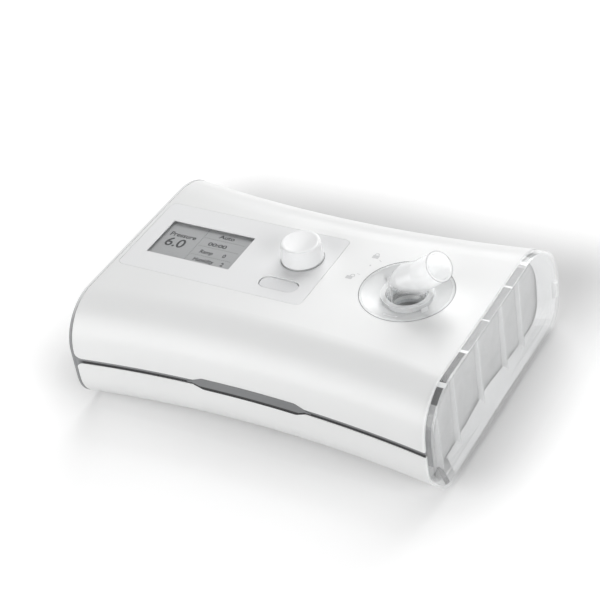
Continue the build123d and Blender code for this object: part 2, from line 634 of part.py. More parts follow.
# ---------------------------------------------------------------- left end: air inlet
END_FACE = -BODY_END                        # outer face of the end panel
MUFFLER_Z = MUFFLER_LOW + MUFFLER_HEIGHT / 2
DOOR_Y, DOOR_Z = BLOWER_Y, MUFFLER_Z
HINGE_X = -OUTER_END + HINGE_RADIUS - HINGE_PROUD
HINGE_Y = DOOR_Y + DOOR_LENGTH / 2 + HINGE_RADIUS
DOOR_LOW, DOOR_HIGH = DOOR_Z - DOOR_HEIGHT / 2, DOOR_Z + DOOR_HEIGHT / 2
FILTER_LENGTH = DOOR_LENGTH - 2 * FILTER_MARGIN
FILTER_HEIGHT = MUFFLER_HEIGHT - 2 * MUFFLER_WALL
MUFFLER_X = END_FACE + END_PANEL_THICKNESS

with BuildPart() as left_end_panel:
    add(hull(END_FACE, END_FACE + END_PANEL_THICKNESS, SHELL_WALL + WALL_CLEARANCE, 2))
    # hinge ears above and below the door, on the panel
    for z_low in (DOOR_LOW - HINGE_EAR - SEAT_GAP, DOOR_HIGH + SEAT_GAP):
        with BuildSketch(Plane.XY.offset(z_low)):
            with Locations((HINGE_X, HINGE_Y)):
                Circle(HINGE_RADIUS)
            with Locations(((HINGE_X + END_FACE + EAR_ROOT) / 2, HINGE_Y)):
                Rectangle(END_FACE + EAR_ROOT - HINGE_X, 2 * HINGE_RADIUS)
        extrude(amount=HINGE_EAR)
    with BuildSketch(Plane.XY.offset(DOOR_LOW - HINGE_EAR - SEAT_GAP)):
        with Locations((HINGE_X, HINGE_Y)):
            Circle(HINGE_PIN_RADIUS + FIT_GAP)
    extrude(amount=DOOR_HEIGHT + 2 * (HINGE_EAR + SEAT_GAP), mode=Mode.SUBTRACT)
    # air passage behind the door, and clearance for its barrel
    with BuildSketch(Plane.YZ.offset(END_FACE)):
        with Locations((DOOR_Y, MUFFLER_Z)):
            Rectangle(FILTER_LENGTH, FILTER_HEIGHT)
    extrude(amount=END_PANEL_THICKNESS, mode=Mode.SUBTRACT)
    with BuildSketch(Plane.XY.offset(DOOR_LOW - SEAT_GAP)):
        with Locations((HINGE_X, HINGE_Y)):
            Circle(HINGE_RADIUS + SEAT_GAP)
    extrude(amount=DOOR_HEIGHT + 2 * SEAT_GAP, mode=Mode.SUBTRACT)
left_end_panel.part.label = "left_end_panel"
export_step(left_end_panel.part, "parts/left_end_panel.step")

with BuildPart() as filter_door:
    with BuildSketch(Plane.YZ.offset(END_FACE - SEAT_GAP - DOOR_THICKNESS)):
        with Locations((DOOR_Y, DOOR_Z)):
            RectangleRounded(DOOR_LENGTH, DOOR_HEIGHT, DOOR_CORNER)
        with Locations((DOOR_Y - DOOR_SLOT_SHIFT, MUFFLER_Z)):
            with GridLocations(0, 2 * DOOR_SLOT_HEIGHT, 1, DOOR_SLOTS):
                SlotOverall(DOOR_LENGTH - 2 * DOOR_SLOT_MARGIN, DOOR_SLOT_HEIGHT, mode=Mode.SUBTRACT)
    extrude(amount=DOOR_THICKNESS)
    with BuildSketch(Plane.XY.offset(DOOR_LOW)):
        with Locations((HINGE_X, HINGE_Y)):
            Circle(HINGE_RADIUS)
        with Locations((END_FACE - SEAT_GAP - DOOR_THICKNESS / 2, HINGE_Y - HINGE_RADIUS)):
            Rectangle(DOOR_THICKNESS, 2 * HINGE_RADIUS)
    extrude(amount=DOOR_HEIGHT)
    with BuildSketch(Plane.XY.offset(DOOR_LOW - HINGE_EAR)):
        with Locations((HINGE_X, HINGE_Y)):
            Circle(HINGE_PIN_RADIUS)
    extrude(amount=DOOR_HEIGHT + 2 * HINGE_EAR)
filter_door.part.label = "filter_door"
export_step(filter_door.part, "parts/filter_door.step")

with BuildPart() as air_filter:
    with BuildSketch(Plane.YZ.offset(MUFFLER_X)):
        with Locations((DOOR_Y, MUFFLER_Z)):
            RectangleRounded(FILTER_LENGTH, FILTER_HEIGHT, FILTER_CORNER)
    extrude(amount=FILTER_THICKNESS)
air_filter.part.label = "air_filter"
export_step(air_filter.part, "parts/air_filter.step")

with BuildPart() as inlet_muffler:
    with BuildSketch(Plane.YZ.offset(MUFFLER_X)):
        with Locations((DOOR_Y, MUFFLER_Z)):
            Rectangle(MUFFLER_DEPTH, MUFFLER_HEIGHT)
    extrude(amount=MUFFLER_LENGTH)
    with BuildSketch(Plane.YZ.offset(MUFFLER_X)):
        with Locations((DOOR_Y, MUFFLER_Z)):
            Rectangle(FILTER_LENGTH, FILTER_HEIGHT)
    extrude(amount=FILTER_THICKNESS, mode=Mode.SUBTRACT)
    with BuildSketch(Plane.YZ.offset(MUFFLER_X + FILTER_THICKNESS)):
        with Locations((DOOR_Y, MUFFLER_Z)):
            Rectangle(MUFFLER_DEPTH - 2 * MUFFLER_WALL, FILTER_HEIGHT)
    extrude(amount=MUFFLER_LENGTH - FILTER_THICKNESS - MUFFLER_WALL, mode=Mode.SUBTRACT)
    with BuildSketch(Plane.XY.offset(MUFFLER_LOW)):
        with Locations((BLOWER_X, BLOWER_Y)):
            Circle(BLOWER_INLET_RADIUS)
    extrude(amount=MUFFLER_WALL, mode=Mode.SUBTRACT)
inlet_muffler.part.label = "inlet_muffler"
export_step(inlet_muffler.part, "parts/inlet_muffler.step")

with BuildPart() as muffler_foam:
    foam_start = MUFFLER_X + FILTER_THICKNESS
    foam_length = MUFFLER_LENGTH - FILTER_THICKNESS - MUFFLER_WALL
    foam_depth = MUFFLER_DEPTH - 2 * MUFFLER_WALL
    with BuildSketch(Plane.YZ.offset(foam_start)):
        with Locations((DOOR_Y, MUFFLER_Z)):
            Rectangle(foam_depth, FILTER_HEIGHT)
            Rectangle(foam_depth - 2 * MUFFLER_SIDE_FOAM, FILTER_HEIGHT - 2 * MUFFLER_FOAM,
                      mode=Mode.SUBTRACT)
    extrude(amount=foam_length)
    with BuildSketch(Plane.XY.offset(MUFFLER_LOW)):
        with Locations((BLOWER_X, BLOWER_Y)):
            Circle(BLOWER_INLET_RADIUS)
    extrude(amount=MUFFLER_HEIGHT / 2, mode=Mode.SUBTRACT)
muffler_foam.part.label = "muffler_foam"
export_step(muffler_foam.part, "parts/muffler_foam.step")

# ---------------------------------------------------------------- blower
SPLIT_Z = BLOWER_BASE + BLOWER_HEIGHT / 2
BLOWER_TOP = BLOWER_BASE + BLOWER_HEIGHT
DUCT_X = BLOWER_X + BLOWER_RADIUS + BLOWER_DUCT_REACH       # flat end of the blower's duct
INSIDE_BASE, INSIDE_TOP = BLOWER_BASE + BLOWER_WALL, BLOWER_TOP - BLOWER_WALL
MOTOR_LOW = BLOWER_BASE - MOTOR_HEIGHT
IMPELLER_LOW = INSIDE_BASE + IMPELLER_LIFT


def blower_shell(z_low, z_high, wall):
    """Blower's outline between two heights: a drum with a duct along its rear side."""
    with BuildPart() as solid:
        with BuildSketch(Plane.XY.offset(z_low)):
            with Locations((BLOWER_X, BLOWER_Y)):
                Circle(BLOWER_RADIUS - wall)
            with Locations(((BLOWER_X + DUCT_X - wall) / 2, DUCT_Y)):
                Rectangle(DUCT_X - wall - BLOWER_X, BLOWER_DUCT_DEPTH - 2 * wall)
        extrude(amount=z_high - z_low)
    return solid.part


def outlet_stub(radius):
    """Round end of the blower's duct."""
    with BuildPart() as solid:
        with BuildSketch(Plane.YZ.offset(DUCT_X - BLOWER_WALL)):
            with Locations((DUCT_Y, SPLIT_Z)):
                Circle(radius)
        extrude(amount=BLOWER_STUB_LENGTH + BLOWER_WALL)
    return solid.part


with BuildPart() as blower_base:
    add(blower_shell(BLOWER_BASE, SPLIT_Z, 0))
    with BuildSketch(Plane.XY.offset(BLOWER_BASE)):
        with Locations(*mount_places):
            Circle(MOUNT_RADIUS)
    extrude(amount=BLOWER_WALL)
    add(outlet_stub(BLOWER_STUB_RADIUS))
    add(blower_shell(INSIDE_BASE, SPLIT_Z, BLOWER_WALL), mode=Mode.SUBTRACT)
    add(outlet_stub(BLOWER_STUB_RADIUS - BLOWER_STUB_WALL), mode=Mode.SUBTRACT)
    with BuildSketch(Plane.XY.offset(SPLIT_Z)):
        with Locations((BLOWER_X + BLOWER_RADIUS / 2, DUCT_Y)):
            Rectangle(DUCT_X - BLOWER_X + BLOWER_RADIUS, 2 * BLOWER_DUCT_DEPTH)
    extrude(amount=BLOWER_HEIGHT, mode=Mode.SUBTRACT)
    with BuildSketch(Plane.XY.offset(BLOWER_BASE)):
        with Locations((BLOWER_X, BLOWER_Y)):
            Circle(MOTOR_SHAFT_RADIUS + SEAT_GAP)
        with Locations(*mount_places):
            Circle(MOUNT_PIN_RADIUS + FIT_GAP)
    extrude(amount=BLOWER_WALL, mode=Mode.SUBTRACT)
blower_base.part.label = "blower_base"
export_step(blower_base.part, "parts/blower_base.step")

with BuildPart() as blower_cap:
    add(blower_shell(SPLIT_Z, BLOWER_TOP, 0))
    with BuildSketch(Plane.XY.offset(BLOWER_TOP)):
        with Locations((BLOWER_X, BLOWER_Y)):
            Circle(BLOWER_INLET_RADIUS + BLOWER_WALL)
    extrude(amount=BLOWER_INLET_RIM)
    add(outlet_stub(BLOWER_STUB_RADIUS))
    add(blower_shell(SPLIT_Z, INSIDE_TOP, BLOWER_WALL), mode=Mode.SUBTRACT)
    add(outlet_stub(BLOWER_STUB_RADIUS - BLOWER_STUB_WALL), mode=Mode.SUBTRACT)
    with BuildSketch(Plane.XY.offset(SPLIT_Z)):
        with Locations((BLOWER_X + BLOWER_RADIUS / 2, DUCT_Y)):
            Rectangle(DUCT_X - BLOWER_X + BLOWER_RADIUS, 2 * BLOWER_DUCT_DEPTH)
    extrude(amount=-BLOWER_HEIGHT, mode=Mode.SUBTRACT)
    with BuildSketch(Plane.XY.offset(INSIDE_TOP)):
        with Locations((BLOWER_X, BLOWER_Y)):
            Circle(BLOWER_INLET_RADIUS)
    extrude(amount=BLOWER_HEIGHT, mode=Mode.SUBTRACT)
blower_cap.part.label = "blower_cap"
export_step(blower_cap.part, "parts/blower_cap.step")

with BuildPart() as impeller:
    with BuildSketch(Plane.XY.offset(IMPELLER_LOW)):
        with Locations((BLOWER_X, BLOWER_Y)):
            Circle(IMPELLER_RADIUS)
    extrude(amount=IMPELLER_DISC)
    with BuildSketch(Plane.XY.offset(IMPELLER_LOW)):
        with Locations((BLOWER_X, BLOWER_Y)):
            Circle(IMPELLER_HUB)
            with PolarLocations((IMPELLER_HUB + IMPELLER_RADIUS) / 2, IMPELLER_BLADES):
                SlotCenterToCenter(IMPELLER_RADIUS - IMPELLER_HUB - BLADE_MARGIN, BLADE_THICKNESS,
                                   rotation=BLADE_ANGLE)
    extrude(amount=IMPELLER_HEIGHT)
    with BuildSketch(Plane.XY.offset(IMPELLER_LOW)):
        with Locations((BLOWER_X, BLOWER_Y)):
            Circle(MOTOR_SHAFT_RADIUS)
    extrude(amount=IMPELLER_HEIGHT, mode=Mode.SUBTRACT)
impeller.part.label = "impeller"
export_step(impeller.part, "parts/impeller.step")

with BuildPart() as motor_shaft:
    with BuildSketch(Plane.XY.offset(MOTOR_LOW)):
        with Locations((BLOWER_X, BLOWER_Y)):
            Circle(MOTOR_SHAFT_RADIUS)
    extrude(amount=IMPELLER_LOW + IMPELLER_HEIGHT + SHAFT_PROUD - MOTOR_LOW)
motor_shaft.part.label = "motor_shaft"
export_step(motor_shaft.part, "parts/motor_shaft.step")

with BuildPart() as rotor_magnet:
    with BuildSketch(Plane.XY.offset(MOTOR_LOW + BEARING_HEIGHT + SEAT_GAP)):
        with Locations((BLOWER_X, BLOWER_Y)):
            Circle(MAGNET_RADIUS)
            Circle(MOTOR_SHAFT_RADIUS, mode=Mode.SUBTRACT)
    extrude(amount=MOTOR_HEIGHT - 2 * BEARING_HEIGHT - 2 * SEAT_GAP)
rotor_magnet.part.label = "rotor_magnet"
export_step(rotor_magnet.part, "parts/rotor_magnet.step")

with BuildPart() as motor_stator:
    with BuildSketch(Plane.XY.offset(MOTOR_LOW)):
        with Locations((BLOWER_X, BLOWER_Y)):
            Circle(MOTOR_RADIUS)
            Circle(MOTOR_BORE, mode=Mode.SUBTRACT)
    extrude(amount=MOTOR_HEIGHT)
motor_stator.part.label = "motor_stator"
export_step(motor_stator.part, "parts/motor_stator.step")

with BuildPart() as motor_bearings:
    for z_low in (MOTOR_LOW, BLOWER_BASE - BEARING_HEIGHT):
        with BuildSketch(Plane.XY.offset(z_low)):
            with Locations((BLOWER_X, BLOWER_Y)):
                Circle(MOTOR_BORE)
                Circle(MOTOR_SHAFT_RADIUS + FIT_GAP, mode=Mode.SUBTRACT)
        extrude(amount=BEARING_HEIGHT)
motor_bearings.part.label = "motor_bearings"
export_step(motor_bearings.part, "parts/motor_bearings.step")

with BuildPart() as blower_mounts:
    with BuildSketch(Plane.XY.offset(BLOWER_BASE - MOUNT_HEIGHT)):
        with Locations(*mount_places):
            Circle(MOUNT_RADIUS)
            Circle(MOUNT_PIN_RADIUS + FIT_GAP, mode=Mode.SUBTRACT)
    extrude(amount=MOUNT_HEIGHT)
blower_mounts.part.label = "blower_mounts"
export_step(blower_mounts.part, "parts/blower_mounts.step")

# ---------------------------------------------------------------- wall to the tank bay
with BuildPart() as bay_wall:
    add(hull(BAY_X, BAY_FACE, SHELL_WALL + WALL_CLEARANCE, 2))
    with BuildSketch(Plane.YZ.offset(BAY_X)):
        with Locations((PORT_Y, PORT_Z)):
            Circle(PORT_RADIUS + PORT_RIM)
    extrude(amount=-PORT_STUB)
    with BuildSketch(Plane.YZ.offset(BAY_FACE)):
        with Locations((PORT_Y, PORT_Z)):
            Circle(PORT_RADIUS)
    extrude(amount=-PORT_STUB - BAY_WALL, mode=Mode.SUBTRACT)
bay_wall.part.label = "bay_wall"
export_step(bay_wall.part, "parts/bay_wall.step")

BOOT_START = DUCT_X + BOOT_GAP
BOOT_FINISH = BAY_X - BOOT_GAP
BOOT_RISE_START = DUCT_X + BLOWER_STUB_LENGTH + BOOT_EASE
BOOT_RISE_FINISH = BAY_X - PORT_STUB - BOOT_EASE
with BuildPart() as outlet_boot:
    with BuildLine() as boot_line:
        FilletPolyline((BOOT_START, DUCT_Y, SPLIT_Z), (BOOT_RISE_START, DUCT_Y, SPLIT_Z),
                       (BOOT_RISE_FINISH, PORT_Y, PORT_Z), (BOOT_FINISH, PORT_Y, PORT_Z), radius=BOOT_BEND)
    with BuildSketch(Plane.YZ.offset(BOOT_START)):
        with Locations((DUCT_Y, SPLIT_Z)):
            Circle(BLOWER_STUB_RADIUS + FIT_GAP + BOOT_WALL)
            Circle(BLOWER_STUB_RADIUS + FIT_GAP, mode=Mode.SUBTRACT)
    sweep()
outlet_boot.part.label = "outlet_boot"
export_step(outlet_boot.part, "parts/outlet_boot.step")

with BuildPart() as inlet_seal:
    with BuildSketch(Plane.YZ.offset(BAY_FACE)):
        with Locations((PORT_Y, PORT_Z)):
            Circle(PORT_RADIUS + 2 * PORT_RIM)
            Circle(PORT_RADIUS, mode=Mode.SUBTRACT)
    extrude(amount=PORT_SEAL)
inlet_seal.part.label = "inlet_seal"
export_step(inlet_seal.part, "parts/inlet_seal.step")

# ---------------------------------------------------------------- heater under the tank
ELEMENT_LOW = PLATE_TOP - HEATER_PLATE - HEATER_ELEMENT

with BuildPart() as heater_carrier:
    with BuildSketch(Plane.XY.offset(CASE_FLOOR)):
        with Locations((HEATER_X, 0)):
            RectangleRounded(HEATER_LENGTH + 2 * CARRIER_RIM, HEATER_DEPTH + 2 * CARRIER_RIM, HEATER_CORNER)
    extrude(amount=CARRIER_HEIGHT)
    with BuildSketch(Plane.XY.offset(ELEMENT_LOW)):
        with Locations((HEATER_X, 0)):
            RectangleRounded(HEATER_LENGTH + 2 * FIT_GAP, HEATER_DEPTH + 2 * FIT_GAP, HEATER_CORNER)
    extrude(amount=CARRIER_HEIGHT, mode=Mode.SUBTRACT)
heater_carrier.part.label = "heater_carrier"
export_step(heater_carrier.part, "parts/heater_carrier.step")

with BuildPart() as heater_element:
    with BuildSketch(Plane.XY.offset(ELEMENT_LOW)):
        with Locations((HEATER_X, 0)):
            RectangleRounded(HEATER_LENGTH - 2 * ELEMENT_MARGIN, HEATER_DEPTH - 2 * ELEMENT_MARGIN,
                             HEATER_CORNER)
    extrude(amount=HEATER_ELEMENT)
heater_element.part.label = "heater_element"
export_step(heater_element.part, "parts/heater_element.step")

with BuildPart() as heater_plate:
    with BuildSketch(Plane.XY.offset(PLATE_TOP - HEATER_PLATE)):
        with Locations((HEATER_X, 0)):
            RectangleRounded(HEATER_LENGTH, HEATER_DEPTH, HEATER_CORNER)
    extrude(amount=HEATER_PLATE)
    fillet(heater_plate.edges().group_by(Axis.Z)[-1], PLATE_ROUND)
heater_plate.part.label = "heater_plate"
export_step(heater_plate.part, "parts/heater_plate.step")

# ---------------------------------------------------------------- water tank
TUB_INSIDE = TANK_FLOOR + TANK_WALL
LID_LOW = TANK_SEAM + TANK_SEAL

with BuildPart() as tank_tub:
    add(tank_hull(0, TANK_FLOOR, TANK_SEAM))
    add(tank_hull(TANK_WALL, TUB_INSIDE, TANK_SEAM + OVERSHOOT), mode=Mode.SUBTRACT)
    with BuildSketch(Plane.XY.offset(TANK_FLOOR - OVERSHOOT)):
        with Locations((HEATER_X, 0)):
            RectangleRounded(HEATER_LENGTH, HEATER_DEPTH, HEATER_CORNER)
    extrude(amount=2 * TANK_WALL, mode=Mode.SUBTRACT)
tank_tub.part.label = "tank_tub"
export_step(tank_tub.part, "parts/tank_tub.step")

with BuildPart() as tank_base_plate:
    with BuildSketch(Plane.XY.offset(PLATE_TOP + SEAT_GAP)):
        with Locations((HEATER_X, 0)):
            RectangleRounded(HEATER_LENGTH - 2 * FIT_GAP, HEATER_DEPTH - 2 * FIT_GAP, HEATER_CORNER)
    extrude(amount=TUB_INSIDE - PLATE_TOP - SEAT_GAP)
    with BuildSketch(Plane.XY.offset(TUB_INSIDE)):
        with Locations((HEATER_X, 0)):
            RectangleRounded(HEATER_LENGTH + CARRIER_RIM, HEATER_DEPTH + CARRIER_RIM, HEATER_CORNER)
    extrude(amount=BASE_PLATE_FLANGE)
tank_base_plate.part.label = "tank_base_plate"
export_step(tank_base_plate.part, "parts/tank_base_plate.step")

with BuildPart() as tank_seal:
    add(tank_hull(SEAL_INSET, TANK_SEAM, LID_LOW))
    add(tank_hull(TANK_WALL - SEAL_INSET, TANK_SEAM - OVERSHOOT, LID_LOW + OVERSHOOT),
        mode=Mode.SUBTRACT)
tank_seal.part.label = "tank_seal"
export_step(tank_seal.part, "parts/tank_seal.step")

with BuildPart() as tank_lid:
    add(tank_hull(0, LID_LOW, TANK_TOP))
    add(tank_hull(TANK_WALL, LID_LOW - OVERSHOOT, TANK_TOP - TANK_WALL), mode=Mode.SUBTRACT)
    with BuildSketch(Plane.XY.offset(TANK_TOP)):
        with Locations((OUTLET_X, OUTLET_Y)):
            Circle(DUCT_RADIUS)
    extrude(amount=-2 * TANK_WALL, mode=Mode.SUBTRACT)
    with BuildSketch(Plane.YZ.offset(TANK_START - OVERSHOOT)):
        with Locations((PORT_Y, PORT_Z)):
            Circle(PORT_RADIUS)
    extrude(amount=2 * TANK_WALL, mode=Mode.SUBTRACT)
tank_lid.part.label = "tank_lid"
export_step(tank_lid.part, "parts/tank_lid.step")

BULKHEAD_FACE = BULKHEAD_X + BULKHEAD_THICKNESS
NECK_INSIDE = CAP_NECK_INSET + CAP_WALL
NECK_END = BODY_END + SEAT_GAP + CAP_WALL   # where the neck opens into the wider band
with BuildPart() as tank_bulkhead:
    add(slab(BULKHEAD_X, BULKHEAD_FACE, BODY_BASE, BODY_TOP))
    # upright fins, deeper towards the foot
    for y in FIN_PLACES:
        with BuildSketch(Plane.XZ.offset(-y - FIN_THICKNESS / 2)):
            with BuildLine():
                Polyline((BULKHEAD_FACE, BODY_BASE), (BULKHEAD_FACE + FIN_FOOT, BODY_BASE),
                         (BULKHEAD_FACE + FIN_TOP, BODY_TOP), (BULKHEAD_FACE, BODY_TOP), close=True)
            make_face()
        extrude(amount=FIN_THICKNESS)
    add(hull(BULKHEAD_X, NECK_END, NECK_INSIDE, 2), mode=Mode.INTERSECT)
tank_bulkhead.part.label = "tank_bulkhead"
export_step(tank_bulkhead.part, "parts/tank_bulkhead.step")

CATCH_X = (BODY_END + CAP_END) / 2
CATCH_FACE = half_depth(CATCH_X) - CAP_INSET + CATCH_PROUD
with BuildPart() as tank_cap:
    add(hull(BODY_END + SEAT_GAP, CAP_END, CAP_INSET, 2))
    fillet(tank_cap.edges().group_by(Axis.X)[-1], CAP_ROUND)
    add(hull(BULKHEAD_X, BODY_END + SEAT_GAP, CAP_NECK_INSET, 2))
    add(hull(BULKHEAD_X, NECK_END, NECK_INSIDE, 2), mode=Mode.SUBTRACT)
    add(hull(NECK_END, CAP_END - CAP_WALL, CAP_INSET + CAP_WALL, 2), mode=Mode.SUBTRACT)
    with BuildSketch(Plane.XZ.offset(CATCH_THICKNESS + CATCH_TRAVEL + SEAT_GAP - CATCH_FACE)):
        with Locations((CATCH_X, CATCH_Z)):
            Rectangle(CATCH_LENGTH + 2 * SEAT_GAP, CATCH_HEIGHT + 2 * SEAT_GAP)
    extrude(amount=-END_DEPTH, mode=Mode.SUBTRACT)
tank_cap.part.label = "tank_cap"
export_step(tank_cap.part, "parts/tank_cap.step")

with BuildPart() as tank_catch:
    with BuildSketch(Plane.XZ.offset(-CATCH_FACE)):
        with Locations((CATCH_X, CATCH_Z)):
            Rectangle(CATCH_LENGTH, CATCH_HEIGHT)
    extrude(amount=CATCH_THICKNESS)
tank_catch.part.label = "tank_catch"
export_step(tank_catch.part, "parts/tank_catch.step")

# ---------------------------------------------------------------- air outlet
SOCKET_BORE = HUB_SKIRT_RADIUS + SEAT_GAP
LUG_LOW = HUB_BOTTOM
DISH_LOW = BODY_TOP - DISC_DISH
OUTLET_AXIS = Axis((OUTLET_X, OUTLET_Y, 0), (0, 0, 1))
GROOVE_LOW, GROOVE_HIGH = LUG_LOW - SEAT_GAP, LUG_LOW + LUG_HEIGHT + SEAT_GAP
GROOVE_RADIUS = HUB_SKIRT_RADIUS + LUG_REACH + SEAT_GAP


def upright_plane(x, y, angle=0):
    """Upright plane through a vertical axis: local x points outwards at the angle, local y up."""
    turn = radians(angle)
    return Plane((x, y, 0), x_dir=(cos(turn), sin(turn), 0), z_dir=(sin(turn), -cos(turn), 0))


def ring_segment(inner, outer, z_low, z_high, start, arc):
    """Part of a ring around the outlet's axis, from one angle over an arc."""
    with BuildPart() as solid:
        with BuildSketch(upright_plane(OUTLET_X, OUTLET_Y, start)):
            with Locations(((inner + outer) / 2, (z_low + z_high) / 2)):
                Rectangle(outer - inner, z_high - z_low)
        revolve(axis=OUTLET_AXIS, revolution_arc=arc)
    return solid.part


lug_angles = [index * 360 / LUG_COUNT for index in range(LUG_COUNT)]
lugs = [ring_segment(HUB_SKIRT_RADIUS - OVERSHOOT, HUB_SKIRT_RADIUS + LUG_REACH,
                     LUG_LOW, LUG_LOW + LUG_HEIGHT, angle, LUG_ANGLE) for angle in lug_angles]
slots = [ring_segment(SOCKET_BORE - OVERSHOOT, GROOVE_RADIUS - FIT_GAP, GROOVE_HIGH - OVERSHOOT, BODY_TOP,
                      angle - DISC_TURN - SLOT_SPARE, LUG_ANGLE + 2 * SLOT_SPARE) for angle in lug_angles]

with BuildPart() as outlet_socket:
    # flange under the cover, dish floor, sleeve with the bayonet groove, and foot with the duct
    with BuildSketch(upright_plane(OUTLET_X, OUTLET_Y)):
        with BuildLine():
            Polyline((DISC_RADIUS + DISC_GAP, COVER_INSIDE), (DISC_RADIUS + SOCKET_FLANGE, COVER_INSIDE),
                     (DISC_RADIUS + SOCKET_FLANGE, COVER_INSIDE - SOCKET_WALL),
                     (GROOVE_RADIUS + SOCKET_WALL, DISH_LOW - DISC_THICKNESS - SOCKET_WALL - SEAT_GAP),
                     (GROOVE_RADIUS + SOCKET_WALL, SOCKET_BOTTOM), (DUCT_RADIUS, SOCKET_BOTTOM),
                     (DUCT_RADIUS, GROOVE_LOW), (GROOVE_RADIUS, GROOVE_LOW), (GROOVE_RADIUS, GROOVE_HIGH),
                     (SOCKET_BORE, GROOVE_HIGH), (SOCKET_BORE, DISH_LOW - DISC_THICKNESS - 2 * SEAT_GAP),
                     close=True)
        make_face()
    revolve(axis=OUTLET_AXIS)
    for slot in slots:
        add(slot, mode=Mode.SUBTRACT)
outlet_socket.part.label = "outlet_socket"
export_step(outlet_socket.part, "parts/outlet_socket.step")

with BuildPart() as outlet_seal:
    with BuildSketch(Plane.XY.offset(TANK_TOP + SEAT_GAP)):
        with Locations((OUTLET_X, OUTLET_Y)):
            Circle(DUCT_RADIUS + SEAL_WIDTH)
            Circle(DUCT_RADIUS, mode=Mode.SUBTRACT)
    extrude(amount=SEAL_HEIGHT - SEAT_GAP)
outlet_seal.part.label = "outlet_seal"
export_step(outlet_seal.part, "parts/outlet_seal.step")

with BuildPart() as outlet_disc:
    with BuildSketch(upright_plane(OUTLET_X, OUTLET_Y)):
        with BuildLine():
            Polyline((DISC_RADIUS, BODY_TOP), (DISC_RADIUS - DISC_LIP, BODY_TOP),
                     (HUB_RADIUS + HUB_SLOPE, DISH_LOW), (HUB_RADIUS, DISH_LOW),
                     (HUB_RADIUS, BODY_TOP - HUB_STEP),
                     (HUB_BORE, BODY_TOP - HUB_STEP), (HUB_BORE, HUB_BOTTOM + HUB_LEDGE),
                     (HUB_BORE - HUB_LEDGE, HUB_BOTTOM + HUB_LEDGE), (HUB_BORE - HUB_LEDGE, HUB_BOTTOM),
                     (HUB_SKIRT_RADIUS, HUB_BOTTOM), (HUB_SKIRT_RADIUS, DISH_LOW - DISC_THICKNESS),
                     (DISC_RADIUS, BODY_TOP - DISC_THICKNESS), close=True)
        make_face()
    revolve(axis=OUTLET_AXIS)
    for lug in lugs:
        add(lug)
outlet_disc.part.label = "outlet_disc"
export_step(outlet_disc.part, "parts/outlet_disc.step")

COLLAR_LOW = HUB_BOTTOM + HUB_LEDGE + SEAT_GAP
RING_LOW = (COLLAR_LOW + COLLAR_TOP - RING_HEIGHT) / 2
BEND_ANGLE = 90 - ELBOW_TILT
BEND_REACH = ELBOW_BEND * (1 - cos(radians(BEND_ANGLE)))
SWING_COS, SWING_SIN = cos(radians(ELBOW_SWING)), sin(radians(ELBOW_SWING))
TILT_COS, TILT_SIN = cos(radians(ELBOW_TILT)), sin(radians(ELBOW_TILT))
bend_end = (OUTLET_X + BEND_REACH * SWING_COS, OUTLET_Y + BEND_REACH * SWING_SIN,
            ELBOW_START + ELBOW_BEND * sin(radians(BEND_ANGLE)))
tube_plane = Plane(bend_end, x_dir=(-SWING_SIN, SWING_COS, 0),
                   z_dir=(TILT_COS * SWING_COS, TILT_COS * SWING_SIN, TILT_SIN))


def elbow_tube(bend_radius, end_radius):
    """Round bar along the elbow: the foot, the bend, the taper and the connector."""
    with BuildPart() as solid:
        with BuildLine(upright_plane(OUTLET_X, OUTLET_Y, ELBOW_SWING)):
            Line((0, COLLAR_TOP), (0, ELBOW_START))
            JernArc(start=(0, ELBOW_START), tangent=(0, 1), radius=ELBOW_BEND, arc_size=-BEND_ANGLE)
        with BuildSketch(Plane((OUTLET_X, OUTLET_Y, COLLAR_TOP))):
            Circle(bend_radius)
        sweep()
        with BuildSketch(tube_plane):
            Circle(bend_radius)
        with BuildSketch(tube_plane.offset(ELBOW_TAPER)):
            Circle(end_radius)
        loft()
        with BuildSketch(tube_plane.offset(ELBOW_TAPER)):
            Circle(end_radius)
        extrude(amount=CONNECTOR_LENGTH)
    return solid.part


with BuildPart() as elbow:
    with BuildSketch(Plane.XY.offset(COLLAR_LOW)):
        with Locations((OUTLET_X, OUTLET_Y)):
            Circle(ELBOW_COLLAR)
    extrude(amount=COLLAR_TOP - COLLAR_LOW)
    add(elbow_tube(ELBOW_RADIUS, CONNECTOR_RADIUS))
    add(elbow_tube(ELBOW_RADIUS - ELBOW_WALL, CONNECTOR_RADIUS - ELBOW_WALL), mode=Mode.SUBTRACT)
    with BuildSketch(Plane.XY.offset(COLLAR_LOW)):
        with Locations((OUTLET_X, OUTLET_Y)):
            Circle(ELBOW_RADIUS - ELBOW_WALL)
    extrude(amount=COLLAR_TOP - COLLAR_LOW, mode=Mode.SUBTRACT)
    with BuildSketch(Plane.XY.offset(RING_LOW)):
        with Locations((OUTLET_X, OUTLET_Y)):
            Circle(ELBOW_COLLAR + OVERSHOOT)
            Circle(ELBOW_COLLAR - RING_DEPTH, mode=Mode.SUBTRACT)
    extrude(amount=RING_HEIGHT, mode=Mode.SUBTRACT)
elbow.part.label = "elbow"
export_step(elbow.part, "parts/elbow.step")

with BuildPart() as elbow_ring:
    with BuildSketch(Plane.XY.offset(RING_LOW)):
        with Locations((OUTLET_X, OUTLET_Y)):
            Circle((ELBOW_COLLAR + HUB_BORE) / 2)
            Circle(ELBOW_COLLAR - RING_DEPTH, mode=Mode.SUBTRACT)
    extrude(amount=RING_HEIGHT)
elbow_ring.part.label = "elbow_ring"
export_step(elbow_ring.part, "parts/elbow_ring.step")

# ---------------------------------------------------------------- control panel and display
LENS_LENGTH, LENS_DEPTH = SCREEN_LENGTH + 2 * LENS_MARGIN, SCREEN_DEPTH + 2 * LENS_MARGIN
GLASS_LOW = COVER_INSIDE - DISPLAY_GLASS

